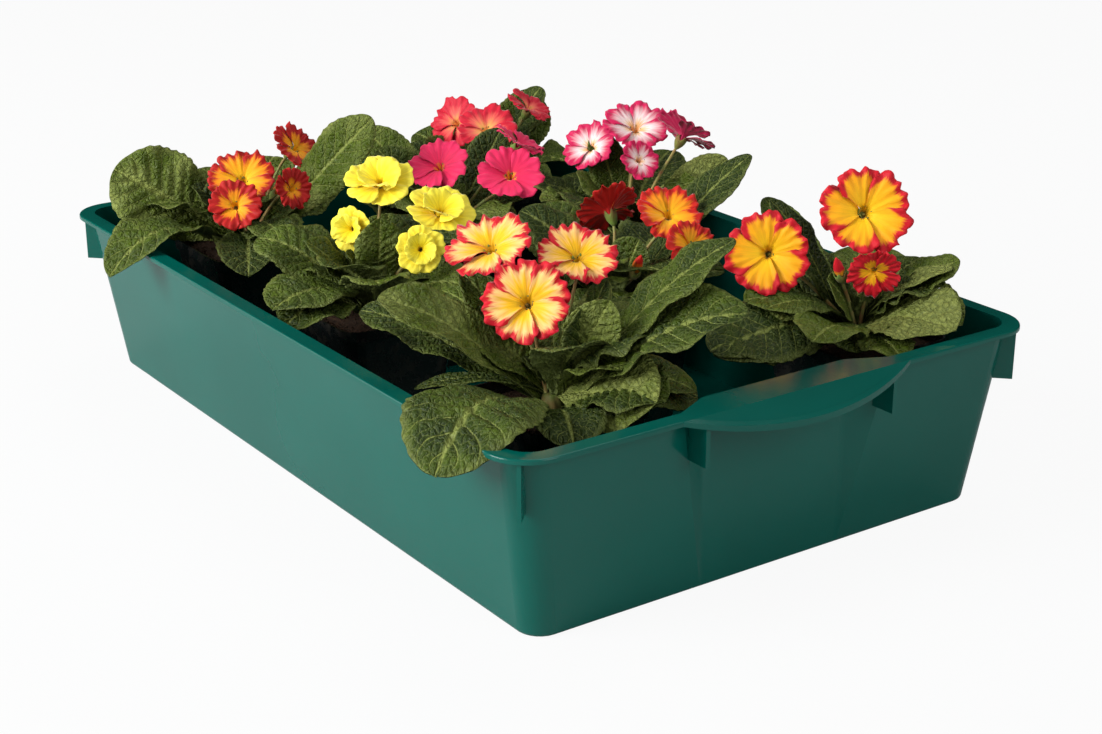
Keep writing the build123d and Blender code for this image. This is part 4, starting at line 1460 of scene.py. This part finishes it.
    def build_flowers(self) -> None:
        """Sets out the petals of every flower, ring by ring, and ruffles them."""
        node = f"blooms_{self.number}"
        kind = KINDS[self.number]
        chance = np.random.default_rng(200 + self.number)
        places, turns, sizes, tones = [], [], [], []
        for index, corners in enumerate(solids_of(node)):
            flower = FlowerFrame.of_solid(corners)
            flower.facing = unit(flower.facing + FRONT_CORNER * NODS.get((self.number, index), 0.0))
            tone = np.clip((26 * MM - flower.radius) / (12 * MM) + chance.uniform(-0.12, 0.12), 0, 1)
            start = chance.uniform(0, 2 * math.pi)
            for ring in range(kind.rings):
                for petal in range(kind.petals):
                    spin = start + 2 * math.pi * (petal + 0.5 * ring) / kind.petals + chance.uniform(-0.06, 0.06)
                    tilt = chance.uniform(-0.1, 0.08) - 0.42 * ring
                    size = flower.radius * (1 - 0.24 * ring) * chance.uniform(0.95, 1.04)
                    places.append(flower.foot + flower.facing * ring * 1.0 * MM)
                    turns.append(tuple(flower.basis(spin, tilt).to_euler()))
                    sizes.append((size, size, size * chance.uniform(0.85, 1.1)))
                    tones.append(tone)
        base = points_object(f"petal_places_{self.number}", places, turns, sizes, tones)
        petals = self.rules.set_out.apply(
            base, f"petals_{self.number}", Pattern=self.patterns[kind.cut.value], Ruffle=kind.ruffle * MM,
            Ruffle_Size=7 * MM, Material=self.petal_material,
        )
        slot = next(part["material_slot"] for part in frame["record"]["subparts"] if part["node"] == node)
        settle(petals, self.body, slot, node)

    def build_buds(self) -> None:
        """Sets out the furled buds, where the plant has any."""
        node = f"flower_buds_{self.number}"
        if node not in frame["nodes"]:
            return
        places, turns, sizes = [], [], []
        heads = [line[-1] for line in self.stalk_lines()]
        for corners in solids_of(node):
            middle = corners.mean(0)
            foot = min(heads, key=lambda head: float(np.linalg.norm(head - middle)))
            facing = unit(middle - foot)
            places.append(foot - facing * 3 * MM)
            turns.append(tuple(Vector(facing).to_track_quat("Z", "Y").to_euler()))
            sizes.append((self.bud_length * 0.8, self.bud_length * 0.8, self.bud_length * 1.1))
        base = points_object(f"bud_places_{self.number}", places, turns, sizes, [0.4] * len(places))
        buds = self.rules.set_out.apply(
            base, f"furled_buds_{self.number}", Pattern=self.patterns["bud"], Material=self.petal_material
        )
        slot = next(part["material_slot"] for part in frame["record"]["subparts"] if part["node"] == node)
        settle(buds, self.body, slot, node)


@dataclass
class PlantingTray:
    """The tray itself, one moulding."""

    finish: bpy.types.Material

    def dress(self) -> None:
        """Gives the CAD tray its green plastic."""
        tray = frame["nodes"]["planting_tray"]
        tray.data.materials.clear()
        tray.data.materials.append(self.finish)
        log.info("planting_tray is dressed")


@dataclass
class Studio:
    """Floor, lights and the camera at the photograph's angle."""

    camera_azimuth: float = math.radians(54.815)
    camera_elevation: float = math.radians(20.492)
    camera_roll: float = math.radians(0.1236)
    camera_distance: float = 1398.957 * MM
    camera_right: float = 28.736 * MM
    camera_up: float = 39.167 * MM
    photo_width: float = 1102.0
    focal_pixels: float = 1959.948
    sensor: float = 36.0
    floor_half: float = 6.0
    paper: str = "C4C8C8"

    def build(self) -> None:
        """Builds the whole studio."""
        self.place_camera()
        self.lay_floor()
        self.light()

    def place_camera(self) -> None:
        """Sets the camera from its angles, distance and sideways offsets."""
        turn, rise, roll = self.camera_azimuth, self.camera_elevation, self.camera_roll
        right = Vector((math.cos(turn), math.sin(turn), 0))
        back = Vector((math.sin(turn) * math.cos(rise), -math.cos(turn) * math.cos(rise), math.sin(rise)))
        above = back.cross(right)
        rolled_right = right * math.cos(roll) + above * math.sin(roll)
        rolled_up = above * math.cos(roll) - right * math.sin(roll)
        data = bpy.data.cameras.new("photo_camera")
        data.sensor_width = self.sensor
        data.lens = self.focal_pixels / self.photo_width * self.sensor
        data.clip_start, data.clip_end = 0.05, 50.0
        camera = bpy.data.objects.new("photo_camera", data)
        place = rolled_right * self.camera_right + rolled_up * self.camera_up + back * self.camera_distance
        axes = Matrix((rolled_right, rolled_up, back)).transposed().to_4x4()
        camera.matrix_world = Matrix.Translation(place) @ axes
        bpy.context.scene.collection.objects.link(camera)
        bpy.context.scene.camera = camera

    def lay_floor(self) -> None:
        """Lays a plain pale floor that keeps only a faint shadow for the camera."""
        material = bpy.data.materials.new("paper_floor")
        material.use_nodes = True
        tree = material.node_tree
        shader = tree.nodes["Principled BSDF"]
        shader.inputs["Base Color"].default_value = srgb(self.paper)
        shader.inputs["Roughness"].default_value = 0.9
        shader.inputs["Specular IOR Level"].default_value = 0.1
        glow = add_node(tree, "ShaderNodeEmission", {"Color": (1.0, 1.0, 1.0, 1.0), "Strength": 1.0})
        seen = add_node(tree, "ShaderNodeLightPath").outputs["Is Camera Ray"]
        share = add_node(tree, "ShaderNodeMath", {0: seen, 1: 0.93}, operation="MULTIPLY").outputs[0]
        mixed = add_node(tree, "ShaderNodeMixShader", {0: share, 1: shader.outputs[0], 2: glow.outputs[0]})
        tree.links.new(mixed.outputs[0], tree.nodes["Material Output"].inputs["Surface"])
        half = self.floor_half
        mesh = bpy.data.meshes.new("floor")
        mesh.from_pydata([(-half, -half, 0), (half, -half, 0), (half, half, 0), (-half, half, 0)], [], [(0, 1, 2, 3)])
        mesh.materials.append(material)
        floor = bpy.data.objects.new("floor", mesh)
        bpy.context.scene.collection.objects.link(floor)

    def light(self) -> None:
        """Hangs the soft lamps and the white world."""
        world = bpy.data.worlds.new("white_studio")
        bpy.context.scene.world = world
        world.use_nodes = True
        tree = world.node_tree
        ambient = tree.nodes["Background"]
        ambient.inputs["Color"].default_value = (1.0, 1.0, 1.0, 1.0)
        where = add_node(tree, "ShaderNodeTexCoord").outputs["Generated"]
        toward = add_node(
            tree, "ShaderNodeVectorMath", {0: where, 1: (-0.766, 0.54, 0.0)}, operation="DOT_PRODUCT"
        ).outputs["Value"]
        strength = add_node(
            tree, "ShaderNodeMapRange",
            {"Value": toward, "From Min": -0.5, "From Max": 0.6, "To Min": 0.45, "To Max": 0.015},
        ).outputs["Result"]
        tree.links.new(strength, ambient.inputs["Strength"])
        backdrop = add_node(tree, "ShaderNodeBackground", {"Color": (1.0, 1.0, 1.0, 1.0), "Strength": 1.0})
        seen = add_node(tree, "ShaderNodeLightPath").outputs["Is Camera Ray"]
        mixed = add_node(tree, "ShaderNodeMixShader", {0: seen, 1: ambient.outputs[0], 2: backdrop.outputs[0]})
        tree.links.new(mixed.outputs[0], tree.nodes["World Output"].inputs["Surface"])
        self.lamp("softbox_front", (-0.5, -2.6, 1.3), 1.7, 118.0)
        self.lamp("softbox_back", (-0.5, 0.9, 2.4), 1.2, 14.0)
        self.lamp("fill_left", (-1.9, -1.5, 0.9), 0.9, 9.0)
        self.lamp("fill_right", (2.3, 0.5, 1.3), 1.2, 17.0)
        bpy.context.scene.view_settings.view_transform = "Standard"

    def lamp(self, name: str, place: tuple[float, float, float], size: float, watts: float) -> None:
        """Hangs one square area lamp that faces the tray."""
        data = bpy.data.lights.new(name, "AREA")
        data.size = size
        data.energy = watts
        lamp = bpy.data.objects.new(name, data)
        lamp.location = place
        aim = Vector((0, 0, 0.1)) - Vector(place)
        lamp.rotation_euler = aim.to_track_quat("-Z", "Y").to_euler()
        bpy.context.scene.collection.objects.link(lamp)


def main() -> None:
    """Builds the planted tray piece by piece."""
    logging.basicConfig(level=logging.INFO, format="%(name)s: %(message)s")
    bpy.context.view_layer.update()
    finishes = Finishes()
    rules = Rules()
    PlantingTray(finishes.tray).dress()
    calyx = calyx_pattern(finishes.calyx)
    helpers = [calyx]
    for number, kind in KINDS.items():
        material = kind.petal.make()
        patterns = {
            "calyx": calyx,
            "bud": bud_pattern(material),
            kind.cut.value: PetalPattern(kind.cut).build(material),
        }
        helpers += [patterns["bud"], patterns[kind.cut.value]]
        PottedPrimrose(number, finishes, rules, material, patterns).build()
    for helper in helpers:
        bpy.data.objects.remove(helper)
    Studio().build()
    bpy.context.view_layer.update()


if __name__ == "__main__":
    main()
